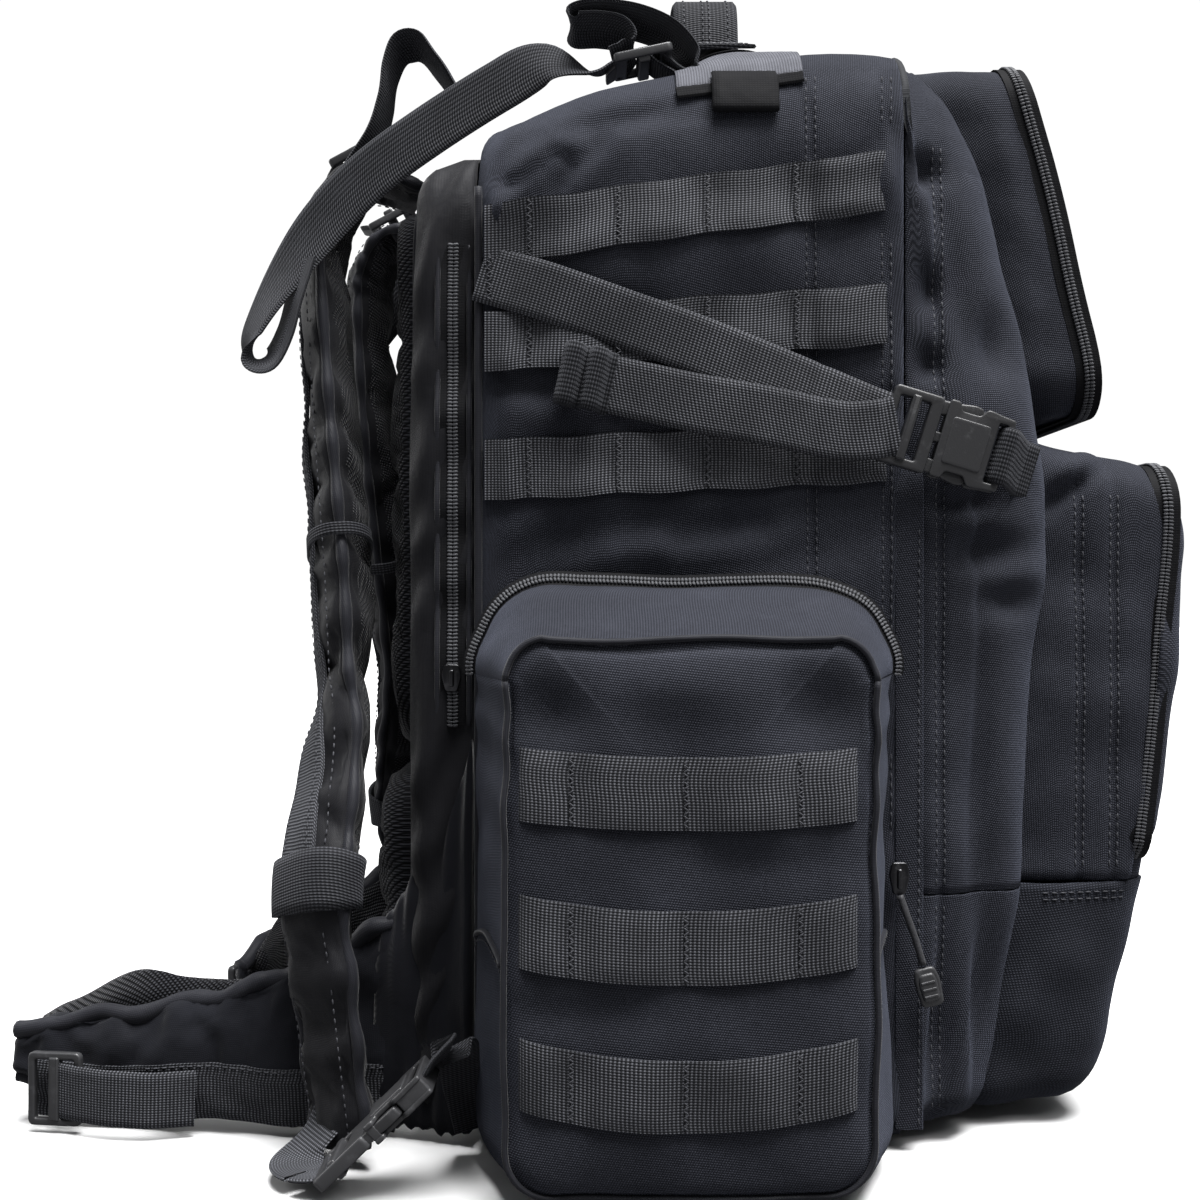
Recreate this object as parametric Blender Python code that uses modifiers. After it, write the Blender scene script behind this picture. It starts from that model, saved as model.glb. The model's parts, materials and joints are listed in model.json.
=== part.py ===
"""Trauma backpack: a clamshell rescue pack with two side pouches, two front pockets and a harness.

Metres, +Z up. The pockets face -Y, the shoulder straps face +Y and the wearer's left is -X.
The origin is under the middle of the pack, on the ground it stands on.
"""

import math

import bmesh
import bpy
from mathutils import Vector

GAP = 0.0006
FABRIC = 0.0024
WEBBING = 0.0018
STRAP_WIDTH = 0.025
ROW_WIDTH = 0.026
POUCH_ROW_WIDTH = 0.028

HALF_WIDTH = 0.160
MAIN_FRONT = -0.1325
MAIN_BACK = 0.054
REAR_BACK = 0.083
FLOOR_CLEAR = 0.006
BASE_THICK = 0.0025
SPLIT_Z = 0.112
SPLIT_GAP = 0.0006
MAIN_STATIONS = (MAIN_FRONT, -0.110, -0.075, -0.03, 0.02, 0.046)
MAIN_FOOT_RADIUS = 0.018
MAIN_TOP_RADIUS = 0.040
FRONT_HALF = 0.157
FRONT_TOP = 0.4855
REAR_HALF = 0.153
REAR_FRONT = MAIN_BACK + 0.0075
REAR_SLOPE = 0.35
REAR_MOUTH = 0.215

TOP_PROFILE = ((-0.1325, 0.4855), (-0.104, 0.489), (-0.03, 0.4785), (0.02, 0.466), (0.054, 0.446))
FRONT_PROFILE = (
    (0.000, -0.170), (0.032, -0.176), (0.104, -0.190), (0.195, -0.197), (0.276, -0.200),
    (0.321, -0.197), (0.376, -0.188), (0.430, -0.174), (0.473, -0.156), (0.490, -0.143),
)
UPPER_POCKET_HALF = 0.115
UPPER_POCKET_Z = (0.327, 0.489)
UPPER_POCKET_FACE = (
    (0.327, -0.2330), (0.346, -0.2330), (0.378, -0.2237), (0.4245, -0.2145), (0.489, -0.198),
)
LOWER_POCKET_HALF = 0.125
LOWER_POCKET_TOP = 0.318
LOWER_POCKET_SLOPE = 0.020
LOWER_COVER_LOW = 0.122
LOWER_POCKET_FACE = (
    (0.006, -0.222), (0.026, -0.232), (0.076, -0.244), (0.113, -0.253), (0.126, -0.255),
    (0.185, -0.262), (0.240, -0.266), (0.263, -0.270), (0.299, -0.270), (0.330, -0.262),
)
COVER_DEPTH = 0.80
SECTION_STEPS = 6
POCKET_GAP = 0.0025

POUCH_INNER = 0.1632
POUCH_OUTER = 0.2412
POUCH_TOP_INNER = 0.2486
POUCH_TOP_OUTER = 0.2240
POUCH_LID = 0.012
POUCH_CENTRE_Y = -0.0355
POUCH_INNER_HALF = 0.088
POUCH_OUTER_HALF = 0.070
POUCH_CORNER = 0.018
POUCH_LEVELS = ((0.17, 0.0), (0.11, 0.0), (0.05, 0.0), (0.018, 0.001), (0.007, 0.006), (0.003, 0.016))
POUCH_ROWS_Z = (0.1675, 0.110, 0.054)
SIDE_ROWS = ((0.398, 0.422), (0.352, 0.364), (0.2965, 0.3045))

HANDLE_HINGE = Vector((0.0, -0.0525, 0.4925))
HANDLE_ARCH = ((-0.058, 0.001), (-0.0565, 0.018), (-0.045, 0.036), (-0.020, 0.0445), (0.0, 0.0455))
HANDLE_THICK = 0.0036

BUCKLE_WIDTH = 0.034
BUCKLE_THICK = 0.009

CORD_DIAMETER = 0.003
CORD_ROUTE = (
    (-0.1685, -0.1290, 0.1130), (-0.1700, -0.1315, 0.1050), (-0.1705, -0.1350, 0.0950),
    (-0.1705, -0.1385, 0.0835),
)
CORD_END = Vector((-0.1705, -0.1408, 0.0742))
MAIN_SLIDER = Vector((-0.1640, -0.1290, 0.1200))
REAR_SLIDER = Vector((-0.1570, 0.0710, 0.2060))


# ---------------------------------------------------------------- helpers

def clear_scene():
    for old in list(bpy.data.objects):
        bpy.data.objects.remove(old)


def new_collection(name):
    made = bpy.data.collections.new(name)
    bpy.context.scene.collection.children.link(made)
    return made


def principled(name, colour, roughness, metallic=0.0):
    made = bpy.data.materials.new(name)
    made.use_nodes = True
    shader = made.node_tree.nodes["Principled BSDF"]
    shader.inputs["Base Color"].default_value = (*colour, 1.0)
    shader.inputs["Roughness"].default_value = roughness
    shader.inputs["Metallic"].default_value = metallic
    return made


def interpolate(table, x):
    """The value at x of a broken line through the table's points."""
    if x <= table[0][0]:
        return table[0][1]
    for (x0, y0), (x1, y1) in zip(table, table[1:]):
        if x <= x1:
            return y0 + (y1 - y0) * (x - x0) / (x1 - x0)
    return table[-1][1]


def rounded_outline(half_width, low, high, low_radius, high_radius, steps=4, side_steps=1):
    """A rounded rectangle as (across, up) points: up the right side, then down the left side."""
    right = []
    for step in range(steps + 1):
        angle = math.radians(-90 + 90 * step / steps)
        x = half_width - low_radius * (1 - math.cos(angle))
        right.append((x, low + low_radius * (1 + math.sin(angle))))
    bottom = low + low_radius
    rise = high - high_radius - bottom
    for step in range(1, side_steps):
        right.append((half_width, bottom + rise * step / side_steps))
    for step in range(steps + 1):
        angle = math.radians(90 * step / steps)
        x = half_width - high_radius * (1 - math.cos(angle))
        right.append((x, high - high_radius * (1 - math.sin(angle))))
    return right + [(-x, z) for x, z in reversed(right)]


def finish_object(name, mesh, material, smooth_angle=35):
    made = bpy.data.objects.new(name, mesh)
    parts.objects.link(made)
    mesh.materials.append(material)
    mesh.shade_smooth()
    mesh.set_sharp_from_angle(angle=math.radians(smooth_angle))
    return made


def bridged(bm, loops):
    """Vertices for each loop, with quads between neighbouring loops."""
    rings = [[bm.verts.new(point) for point in loop] for loop in loops]
    count = len(rings[0])
    for ring, following in zip(rings, rings[1:]):
        for index in range(count):
            after = (index + 1) % count
            bm.faces.new((ring[index], ring[after], following[after], following[index]))
    return rings


def solid_loft(name, loops, material):
    """A closed solid through loops of equal length, with flat ends."""
    bm = bmesh.new()
    rings = bridged(bm, loops)
    bm.faces.new(list(reversed(rings[0])))
    bm.faces.new(rings[-1])
    bmesh.ops.recalc_face_normals(bm, faces=bm.faces)
    mesh = bpy.data.meshes.new(name)
    bm.to_mesh(mesh)
    bm.free()
    return finish_object(name, mesh, material)


def shell_loft(name, loops, material, thickness=FABRIC):
    """A shell, open at the first loop and closed past the last, with its thickness inside.

    The second half of each loop mirrors its first half, so straight strips close the last one.
    """
    bm = bmesh.new()
    rings = bridged(bm, loops)
    last = rings[-1]
    for index in range(len(last) // 2 - 1):
        bm.faces.new((last[index], last[index + 1], last[-index - 2], last[-index - 1]))
    bmesh.ops.recalc_face_normals(bm, faces=bm.faces)
    centre = sum((vert.co for vert in bm.verts), Vector()) / len(bm.verts)
    outward = 0.0
    for face in bm.faces:
        outward += (face.calc_center_median() - centre).dot(face.normal) * face.calc_area()
    if outward < 0:
        bmesh.ops.reverse_faces(bm, faces=bm.faces)
    mesh = bpy.data.meshes.new(name)
    bm.to_mesh(mesh)
    bm.free()
    made = finish_object(name, mesh, material)
    solid = made.modifiers.new("wall", "SOLIDIFY")
    solid.thickness = thickness
    solid.offset = -1.0
    solid.use_even_offset = False
    solid.use_quality_normals = True
    return made


def band(name, centres, across, width, thickness, material):
    """Flat webbing along a line of centres; across is its width direction, or one for each centre."""
    points = [Vector(centre) for centre in centres]
    acrosses = across if isinstance(across, list) else [across] * len(points)
    widths = width if isinstance(width, list) else [width] * len(points)
    thicks = thickness if isinstance(thickness, list) else [thickness] * len(points)
    loops = []
    for index, point in enumerate(points):
        before = points[max(index - 1, 0)]
        after = points[min(index + 1, len(points) - 1)]
        along = (after - before).normalized()
        side = Vector(acrosses[index])
        side = (side - along * side.dot(along)).normalized()
        up = along.cross(side)
        a = side * widths[index] / 2
        b = up * thicks[index] / 2
        loops.append([point - a - b, point + a - b, point + a + b, point - a + b])
    return solid_loft(name, loops, material)


def pad(name, centres, across, widths, thicks, material, corner=0.45):
    """A padded strap along a line of centres, with rounded edges."""
    points = [Vector(centre) for centre in centres]
    acrosses = across if isinstance(across, list) else [across] * len(points)
    loops = []
    for index, point in enumerate(points):
        before = points[max(index - 1, 0)]
        after = points[min(index + 1, len(points) - 1)]
        along = (after - before).normalized()
        side = Vector(acrosses[index])
        up = along.cross(side).normalized()
        half = widths[index] / 2
        thick = thicks[index] / 2
        radius = min(half, thick) * 2 * corner
        outline = rounded_outline(half, -thick, thick, radius, radius, 2)
        loops.append([point + side * u + up * v for u, v in outline])
    return solid_loft(name, loops, material)


def smooth_line(points, count):
    """Points on a smooth curve through the given points."""
    knots = [Vector(point) for point in points]
    knots = [knots[0] * 2 - knots[1], *knots, knots[-1] * 2 - knots[-2]]
    spans = len(knots) - 3
    line = []
    for step in range(count):
        place = step / (count - 1) * spans
        span = min(int(place), spans - 1)
        t = place - span
        a, b, c, d = knots[span:span + 4]
        square = 2 * a - 5 * b + 4 * c - d
        cube = 3 * b - a - 3 * c + d
        line.append(0.5 * (2 * b + (c - a) * t + square * t * t + cube * t ** 3))
    return line


def block(name, centre, size, material, bevel=0.001, turn=None):
    """A box with softened edges, turned about its own centre."""
    bm = bmesh.new()
    bmesh.ops.create_cube(bm, size=1.0)
    bmesh.ops.scale(bm, vec=size, verts=bm.verts)
    if bevel:
        bmesh.ops.bevel(bm, geom=bm.edges[:], offset=bevel, segments=2, affect="EDGES")
    mesh = bpy.data.meshes.new(name)
    bm.to_mesh(mesh)
    bm.free()
    made = finish_object(name, mesh, material)
    made.location = centre
    if turn:
        made.rotation_mode = "XYZ"
        made.rotation_euler = turn
    return made


def cut(target, centre, size, turn=None):
    """Takes a box out of the target."""
    mesh = bpy.data.meshes.new("cut")
    bm = bmesh.new()
    bmesh.ops.create_cube(bm, size=1.0)
    bmesh.ops.scale(bm, vec=size, verts=bm.verts)
    bm.to_mesh(mesh)
    bm.free()
    tool = bpy.data.objects.new(target.name + "_cutter", mesh)
    cutters.objects.link(tool)
    tool.location = centre
    if turn:
        tool.rotation_euler = turn
    tool.hide_render = True
    tool.display_type = "WIRE"
    modifier = target.modifiers.new("cut", "BOOLEAN")
    modifier.operation = "DIFFERENCE"
    modifier.object = tool


def side_name(side):
    return "left" if side < 0 else "right"


# ---------------------------------------------------------------- the bag

def top_height(y):
    return interpolate(TOP_PROFILE, y)


def front_depth(z):
    return interpolate(FRONT_PROFILE, z)


def main_loop(y, inset):
    low = BASE_THICK + GAP + inset
    high = top_height(y) - inset
    outline = rounded_outline(HALF_WIDTH - inset, low, high, MAIN_FOOT_RADIUS - inset / 2, MAIN_TOP_RADIUS)
    return [(x, y, z) for x, z in outline]


def make_main_compartment():
    loops = [main_loop(y, 0.0) for y in MAIN_STATIONS]
    loops.append(main_loop(MAIN_BACK, 0.008))
    shell_loft("main_compartment", loops, nylon)


def make_base_panel():
    outline = rounded_outline(0.148, -0.122, 0.046, 0.02, 0.02)
    loops = [[(x, y, z) for x, y in outline] for z in (0.0, BASE_THICK)]
    solid_loft("base_panel", loops, base_fabric)


def make_rear_compartment():
    loops = []
    for y, inset in ((REAR_FRONT, 0.0), (REAR_BACK - 0.006, 0.0), (REAR_BACK, 0.006)):
        low = 0.010 + inset
        high = 0.440 - inset - REAR_SLOPE * (y - REAR_FRONT)
        outline = rounded_outline(REAR_HALF - inset, low, high, 0.02, 0.035)
        loops.append([(x, y, z) for x, z in outline])
    made = shell_loft("rear_compartment", loops, smooth_fabric, 0.0018)
    cut(made, (-REAR_HALF, REAR_FRONT + 0.0095, 0.31), (0.02, 0.008, REAR_MOUTH))


def make_frame():
    y = MAIN_BACK + 0.0022
    sheet = block("frame_sheet", (0, y, 0.225), (0.26, 0.0016, 0.39), frame_plastic, 0.0)
    sheet.modifiers.new("soften", "BEVEL").width = 0.0003
    for side in (-1, 1):
        name = "stay_" + side_name(side)
        block(name, (side * 0.07, y + 0.0027, 0.22), (0.022, 0.003, 0.36), aluminium, 0.0008)


def make_cushion(name, half, low, high, steps):
    """A cushion on the pack's back; each step is (how far it stands off, how far its edge is in)."""
    loops = []
    for depth, inset in steps:
        outline = rounded_outline(half - inset, low + inset, high - inset, 0.03, 0.03)
        loops.append([(x, REAR_BACK + GAP + depth, z) for x, z in outline])
    solid_loft(name, loops, mesh_fabric)


def make_back_pads():
    make_cushion("back_pad", 0.110, 0.170, 0.425, ((0.0, 0.0), (0.007, 0.0), (0.010, 0.004)))
    make_cushion("lumbar_pad", 0.118, 0.035, 0.160, ((0.0, 0.0), (0.012, 0.0), (0.017, 0.006)))


def section_loop(half, low, high, depth, inset, low_radius, high_radius, back, face):
    """A loop across a front section: depth 0 is on its back, 1 on its face."""
    outline = rounded_outline(
        half - inset, low + inset, high - inset, low_radius, high_radius, side_steps=SECTION_STEPS
    )
    loop = []
    for x, z in outline:
        y_back = back(z)
        y_face = face(z)
        loop.append((x, y_back + (y_face - y_back) * depth, z))
    return loop


def make_front_compartment():
    def back(z):
        return MAIN_FRONT - GAP

    steps = ((0.0, 0.0), (0.5, 0.0), (0.85, 0.001), (1.0, 0.010))
    halves = (
        ("front_compartment", SPLIT_Z + SPLIT_GAP, FRONT_TOP, 0.006, 0.045),
        ("front_base", FLOOR_CLEAR, SPLIT_Z - SPLIT_GAP, 0.020, 0.006),
    )
    for name, low, high, low_radius, high_radius in halves:
        loops = []
        for depth, inset in steps:
            loops.append(
                section_loop(FRONT_HALF, low, high, depth, inset, low_radius, high_radius, back, front_depth)
            )
        shell_loft(name, loops, nylon)


def pocket_loops(half, low, high, face, depths, low_radius, high_radius, slope=0.0):
    def back(z):
        return front_depth(z) - POCKET_GAP

    def front(z):
        return interpolate(face, z)

    loops = []
    for depth, inset in depths:
        top = high - slope * depth
        loops.append(section_loop(half, low, top, depth, inset, low_radius, high_radius, back, front))
    return loops


def make_upper_pocket():
    low, high = UPPER_POCKET_Z
    tub = ((COVER_DEPTH, 0.0), (0.4, 0.0), (0.05, 0.001), (0.0, 0.004))
    loops = pocket_loops(UPPER_POCKET_HALF, low, high, UPPER_POCKET_FACE, tub, 0.022, 0.022)
    shell_loft("upper_pocket", loops, nylon, 0.002)
    cover = ((COVER_DEPTH + 0.03, 0.0), (0.95, 0.001), (1.0, 0.008))
    loops = pocket_loops(UPPER_POCKET_HALF, low, high, UPPER_POCKET_FACE, cover, 0.022, 0.022)
    shell_loft("upper_pocket_cover", loops, nylon, 0.002)


def make_lower_pocket():
    tub = ((COVER_DEPTH, 0.0), (0.4, 0.0), (0.05, 0.001), (0.0, 0.004))
    low = SPLIT_Z + SPLIT_GAP
    loops = pocket_loops(
        LOWER_POCKET_HALF, low, LOWER_POCKET_TOP, LOWER_POCKET_FACE, tub, 0.006, 0.020, LOWER_POCKET_SLOPE
    )
    shell_loft("lower_pocket", loops, nylon, 0.002)
    cover = ((COVER_DEPTH + 0.03, 0.0), (0.95, 0.001), (1.0, 0.008))
    loops = pocket_loops(
        LOWER_POCKET_HALF, LOWER_COVER_LOW, LOWER_POCKET_TOP, LOWER_POCKET_FACE, cover, 0.012, 0.020,
        LOWER_POCKET_SLOPE,
    )
    shell_loft("lower_pocket_cover", loops, nylon, 0.002)
    base = ((0.0, 0.0), (0.5, 0.0), (0.9, 0.001), (1.0, 0.010))
    loops = pocket_loops(
        LOWER_POCKET_HALF, FLOOR_CLEAR, SPLIT_Z - SPLIT_GAP, LOWER_POCKET_FACE, base, 0.02, 0.006
    )
    shell_loft("lower_pocket_base", loops, nylon, 0.002)


# ---------------------------------------------------------------- side pouches

def pouch_top(x):
    share = (abs(x) - POUCH_INNER) / (POUCH_OUTER - POUCH_INNER)
    return POUCH_TOP_INNER + (POUCH_TOP_OUTER - POUCH_TOP_INNER) * share


def pouch_loop(side, inset, height):
    """A level loop round a pouch, narrower outside than against the bag; height is a function of x."""
    inner_half = POUCH_INNER_HALF - inset
    outer_half = POUCH_OUTER_HALF - inset
    near = POUCH_INNER + inset * 0.3
    far = POUCH_OUTER - inset
    points = []
    for step in range(5):
        angle = math.radians(90 * step / 4)
        x = far - POUCH_CORNER + POUCH_CORNER * math.sin(angle)
        y = outer_half - POUCH_CORNER + POUCH_CORNER * math.cos(angle)
        points.append((x, y))
    half_loop = [(near, inner_half)] + points
    outline = half_loop + [(x, -y) for x, y in reversed(half_loop)]
    return [(side * x, POUCH_CENTRE_Y + y, height(x)) for x, y in outline]


def make_side_pouch(side):
    def rim(x):
        return pouch_top(x) - POUCH_LID

    def at(level):
        return lambda x: level

    name = side_name(side)
    loops = [pouch_loop(side, 0.0, rim)]
    for level, inset in POUCH_LEVELS:
        loops.append(pouch_loop(side, inset, at(level)))
    shell_loft("side_pouch_" + name, loops, nylon)
    loops = [
        pouch_loop(side, 0.0, lambda x: rim(x) + GAP),
        pouch_loop(side, 0.0, lambda x: pouch_top(x) - 0.004),
        pouch_loop(side, 0.004, pouch_top),
    ]
    shell_loft("side_pouch_lid_" + name, loops, nylon, 0.002)
    for number, level in enumerate(POUCH_ROWS_Z):
        bow = 0.0005 + 0.002 * number
        across = [0.034 - 0.131 * step / 8 for step in range(9)]
        centres = []
        for step, y in enumerate(across):
            middle = 1 - (2 * step / 8 - 1) ** 2
            out = POUCH_OUTER + GAP + WEBBING / 2 + 0.0010 * middle
            centres.append((side * out, y, level - bow * middle))
        band(f"pouch_webbing_{name}_{number + 1}", centres, (0, 0, 1), POUCH_ROW_WIDTH, WEBBING, webbing)


def make_side_webbing(side):
    name = side_name(side)
    for number, (rear_z, front_z) in enumerate(SIDE_ROWS):
        centres = []
        for step in range(9):
            share = step / 8
            y = 0.050 - 0.174 * share
            bulge = 0.0010 * abs(math.sin(math.pi * share * 4))
            out = HALF_WIDTH + GAP + WEBBING / 2 + bulge
            centres.append((side * out, y, rear_z + (front_z - rear_z) * share))
        band(f"side_webbing_{name}_{number + 1}", centres, (0, 0, 1), ROW_WIDTH, WEBBING, webbing)


# ---------------------------------------------------------------- compression straps

BUCKLE_SLOPE = math.radians(17)
BUCKLE_MIDDLE = Vector((0.0, -0.150, 0.308))
BUCKLE_X = HALF_WIDTH + 0.0085


def along_strap(distance, lift=0.0):
    """A point on the compression strap's line, measured from the buckle's middle towards the back."""
    y = BUCKLE_MIDDLE.y + distance * math.cos(BUCKLE_SLOPE)
    z = BUCKLE_MIDDLE.z + distance * math.sin(BUCKLE_SLOPE) + lift
    return y, z


def make_compression_strap(side):
    name = side_name(side)
    x = side * (HALF_WIDTH + 0.0055)
    rear = along_strap(0.2115)
    near = along_strap(0.0255)
    centres = []
    for step in range(7):
        share = step / 6
        y = rear[0] + (near[0] - rear[0]) * share
        z = rear[1] + (near[1] - rear[1]) * share
        centres.append((x + side * 0.002 * math.sin(math.pi * share), y, z))
    band("compression_strap_" + name, centres, (0, 0, 1), STRAP_WIDTH, WEBBING, webbing)
    turn = (BUCKLE_SLOPE, 0, 0)
    y, z = along_strap(0.0135)
    male = block(
        "compression_buckle_male_" + name, (side * BUCKLE_X, y, z), (BUCKLE_THICK, 0.0225, BUCKLE_WIDTH),
        plastic, 0.0012, turn,
    )
    y, z = along_strap(0.0185)
    cut(male, (side * (BUCKLE_X + BUCKLE_THICK / 2), y, z), (BUCKLE_THICK, 0.006, STRAP_WIDTH + 0.001), turn)
    y, z = along_strap(-0.0145)
    female = block(
        "compression_buckle_female_" + name, (side * BUCKLE_X, y, z), (BUCKLE_THICK, 0.030, BUCKLE_WIDTH),
        plastic, 0.0012, turn,
    )
    y, z = along_strap(-0.0245)
    slot = (BUCKLE_THICK, 0.005, STRAP_WIDTH + 0.001)
    cut(female, (side * (BUCKLE_X + BUCKLE_THICK / 2), y, z), slot, turn)


# ---------------------------------------------------------------- top: handle and lifters

def make_handle():
    hinge = HANDLE_HINGE
    arch = HANDLE_ARCH + tuple((-x, z) for x, z in reversed(HANDLE_ARCH[:-1]))
    line = smooth_line([(x, hinge.y, hinge.z + z) for x, z in arch], 21)
    widths = [0.008 + 0.024 * min(1.0, (point.z - hinge.z) / 0.022) for point in line]
    band("carry_handle", line, (0, 1, 0), widths, HANDLE_THICK, webbing)


LIFTER_X = 0.1215
LOCK_Y = -0.018
LOCK_RISE = 0.0105
LOCK_TILT = math.radians(-12)
LIFTER_ROUTE = (
    (0.000, 0.4885), (0.025, 0.4855), (0.047, 0.4745), (0.080, 0.4535), (0.106, 0.434), (0.128, 0.411),
    (0.146, 0.386), (0.1575, 0.366),
)


def make_load_lifter(side):
    name = side_name(side)
    line = smooth_line([(side * LIFTER_X, y, z) for y, z in LIFTER_ROUTE], 15)
    normals = []
    for index in range(len(line)):
        after = line[min(index + 1, len(line) - 1)]
        before = line[max(index - 1, 0)]
        along = (after - before).normalized()
        normals.append(Vector((0.12 * side, along.z, -along.y)))
    band("load_lifter_" + name, line, normals, STRAP_WIDTH, WEBBING, webbing)
    x = side * LIFTER_X
    z = top_height(LOCK_Y) + LOCK_RISE
    turn = (LOCK_TILT, 0, 0)
    lock = block("top_ladder_lock_" + name, (x, LOCK_Y, z), (0.031, 0.030, 0.009), plastic, 0.0012, turn)
    for shift in (-0.006, 0.006):
        cut(lock, (x, LOCK_Y + shift, z), (0.0265, 0.005, 0.02), turn)


# ---------------------------------------------------------------- harness

STRAP_ROUTE = (
    (0.060, 0.0885, 0.4375), (0.066, 0.1110, 0.4430), (0.074, 0.1270, 0.4300), (0.080, 0.1325, 0.4050),
    (0.088, 0.1290, 0.3400), (0.097, 0.1245, 0.2900), (0.108, 0.1200, 0.2400), (0.122, 0.1175, 0.1900),
    (0.150, 0.1200, 0.1440), (0.167, 0.1220, 0.1100), (0.173, 0.1160, 0.0600), (0.175, 0.1100, 0.0080),
)
STRAP_LOCK = Vector((0.070, 0.1190, 0.4545))
STRAP_LOCK_TILT = math.radians(-28)
STRAP_WIDTHS = (0.058, 0.062, 0.064, 0.064, 0.064, 0.062, 0.058, 0.052, 0.046, 0.036, 0.030, 0.028)
STRAP_THICKS = (0.008, 0.012, 0.016, 0.018, 0.020, 0.022, 0.023, 0.023, 0.024, 0.022, 0.016, 0.010)


def make_shoulder_strap(side):
    name = side_name(side)
    centres = [(side * x, y, z) for x, y, z in STRAP_ROUTE]
    pad("shoulder_strap_" + name, centres, (1, 0, 0), STRAP_WIDTHS, STRAP_THICKS, nylon)
    centre = (side * STRAP_LOCK.x, STRAP_LOCK.y, STRAP_LOCK.z)
    turn = (STRAP_LOCK_TILT, 0, 0)
    lock = block("strap_ladder_lock_" + name, centre, (0.031, 0.024, 0.007), plastic, 0.001, turn)
    cut(lock, centre, (0.0265, 0.006, 0.02), turn)


RELEASE_X = 0.2120
RELEASE_START = Vector((0.0, 0.0690, 0.0490))
RELEASE_END = Vector((0.0, 0.1120, 0.0075))


def make_release_buckle(side):
    """The quick release at the strap's foot: the socket hangs on the bag, the plug on the strap."""
    name = side_name(side)
    along = RELEASE_END - RELEASE_START
    angle = math.atan2(along.z, along.y)
    for kind, low, high in (("socket", 0.0, 0.50), ("plug", 0.512, 1.0)):
        middle = RELEASE_START + along * (low + high) / 2
        length = along.length * (high - low)
        turn = (angle, 0, 0)
        made = block(
            f"release_{kind}_{name}", (side * RELEASE_X, middle.y, middle.z),
            (BUCKLE_WIDTH, length, BUCKLE_THICK), plastic, 0.0012, turn,
        )
        slot = RELEASE_START + along * (0.10 if kind == "socket" else 0.90)
        cut(made, (side * RELEASE_X, slot.y, slot.z), (STRAP_WIDTH + 0.001, 0.004, 0.02), turn)
    route = [
        (side * 0.1660, 0.0560, 0.0120), (side * 0.1780, 0.0580, 0.0300), (side * 0.1930, 0.0590, 0.0480),
        (side * 0.2080, 0.0595, 0.0590), (side * 0.2115, 0.0640, 0.0600),
    ]
    line = smooth_line(route, 9)
    band("release_webbing_" + name, line, (0.35 * side, 1, 0), 0.010, WEBBING, webbing)


WING_ROUTES = {
    -1: ((0.139, 0.092), (0.135, 0.120), (0.131, 0.150), (0.127, 0.185), (0.122, 0.225), (0.116, 0.268)),
    1: ((0.139, 0.092), (0.131, 0.118), (0.116, 0.145), (0.094, 0.168), (0.067, 0.184), (0.030, 0.196)),
}
WING_TOPS = (0.098, 0.082, 0.068, 0.058, 0.050, 0.045)
WING_LOWS = (0.004, 0.004, 0.008, 0.012, 0.016, 0.020)
WING_THICKS = (0.010, 0.014, 0.016, 0.016, 0.014, 0.008)


def make_belt_wing(side):
    name = side_name(side)
    centres = []
    widths = []
    for (x, y), top, low in zip(WING_ROUTES[side], WING_TOPS, WING_LOWS):
        centres.append((side * x, y, (top + low) / 2))
        widths.append(top - low)
    pad("belt_wing_" + name, centres, (0, 0, 1), widths, WING_THICKS, nylon)
    route = [Vector((side * x, y, 0)) for x, y in WING_ROUTES[side]]
    line = []
    for index in range(1, len(route)):
        along = (route[min(index + 1, len(route) - 1)] - route[index - 1]).normalized()
        outward = Vector((along.y, -along.x, 0)) * side
        lift = WING_THICKS[index] / 2 + WEBBING / 2 + 0.0012
        line.append(route[index] + outward * lift + Vector((0, 0, WING_LOWS[index] + 0.0165)))
    band("belt_webbing_" + name, line, (0, 0, 1), 0.026, WEBBING, webbing)


# ---------------------------------------------------------------- zippers and the pull cord

def make_zippers():
    slider = block("main_zipper_slider", MAIN_SLIDER, (0.0045, 0.009, 0.014), steel, 0.0008)
    cut(slider, MAIN_SLIDER + Vector((-0.0015, 0, -0.0025)), (0.0014, 0.02, 0.004))
    block("rear_zipper_slider", REAR_SLIDER, (0.0045, 0.009, 0.012), steel, 0.0008)


def make_pull_cord():
    data = bpy.data.curves.new("pull_cord", "CURVE")
    data.dimensions = "3D"
    data.bevel_depth = CORD_DIAMETER / 2
    data.bevel_resolution = 2
    data.use_fill_caps = True
    spline = data.splines.new("POLY")
    line = smooth_line(CORD_ROUTE, 9)
    spline.points.add(len(line) - 1)
    for point, place in zip(spline.points, line):
        point.co = (*place, 1.0)
    cord = bpy.data.objects.new("pull_cord", data)
    parts.objects.link(cord)
    data.materials.append(webbing)
    block("pull_cord_end", CORD_END, (0.0055, 0.0115, 0.0175), plastic, 0.0012, (math.radians(-14), 0, 0))


def main():
    make_base_panel()
    make_main_compartment()
    make_rear_compartment()
    make_frame()
    make_back_pads()
    make_front_compartment()
    make_upper_pocket()
    make_lower_pocket()
    make_handle()
    make_zippers()
    make_pull_cord()
    for side in (-1, 1):
        make_side_pouch(side)
        make_side_webbing(side)
        make_compression_strap(side)
        make_load_lifter(side)
        make_shoulder_strap(side)
        make_release_buckle(side)
        make_belt_wing(side)


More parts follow.
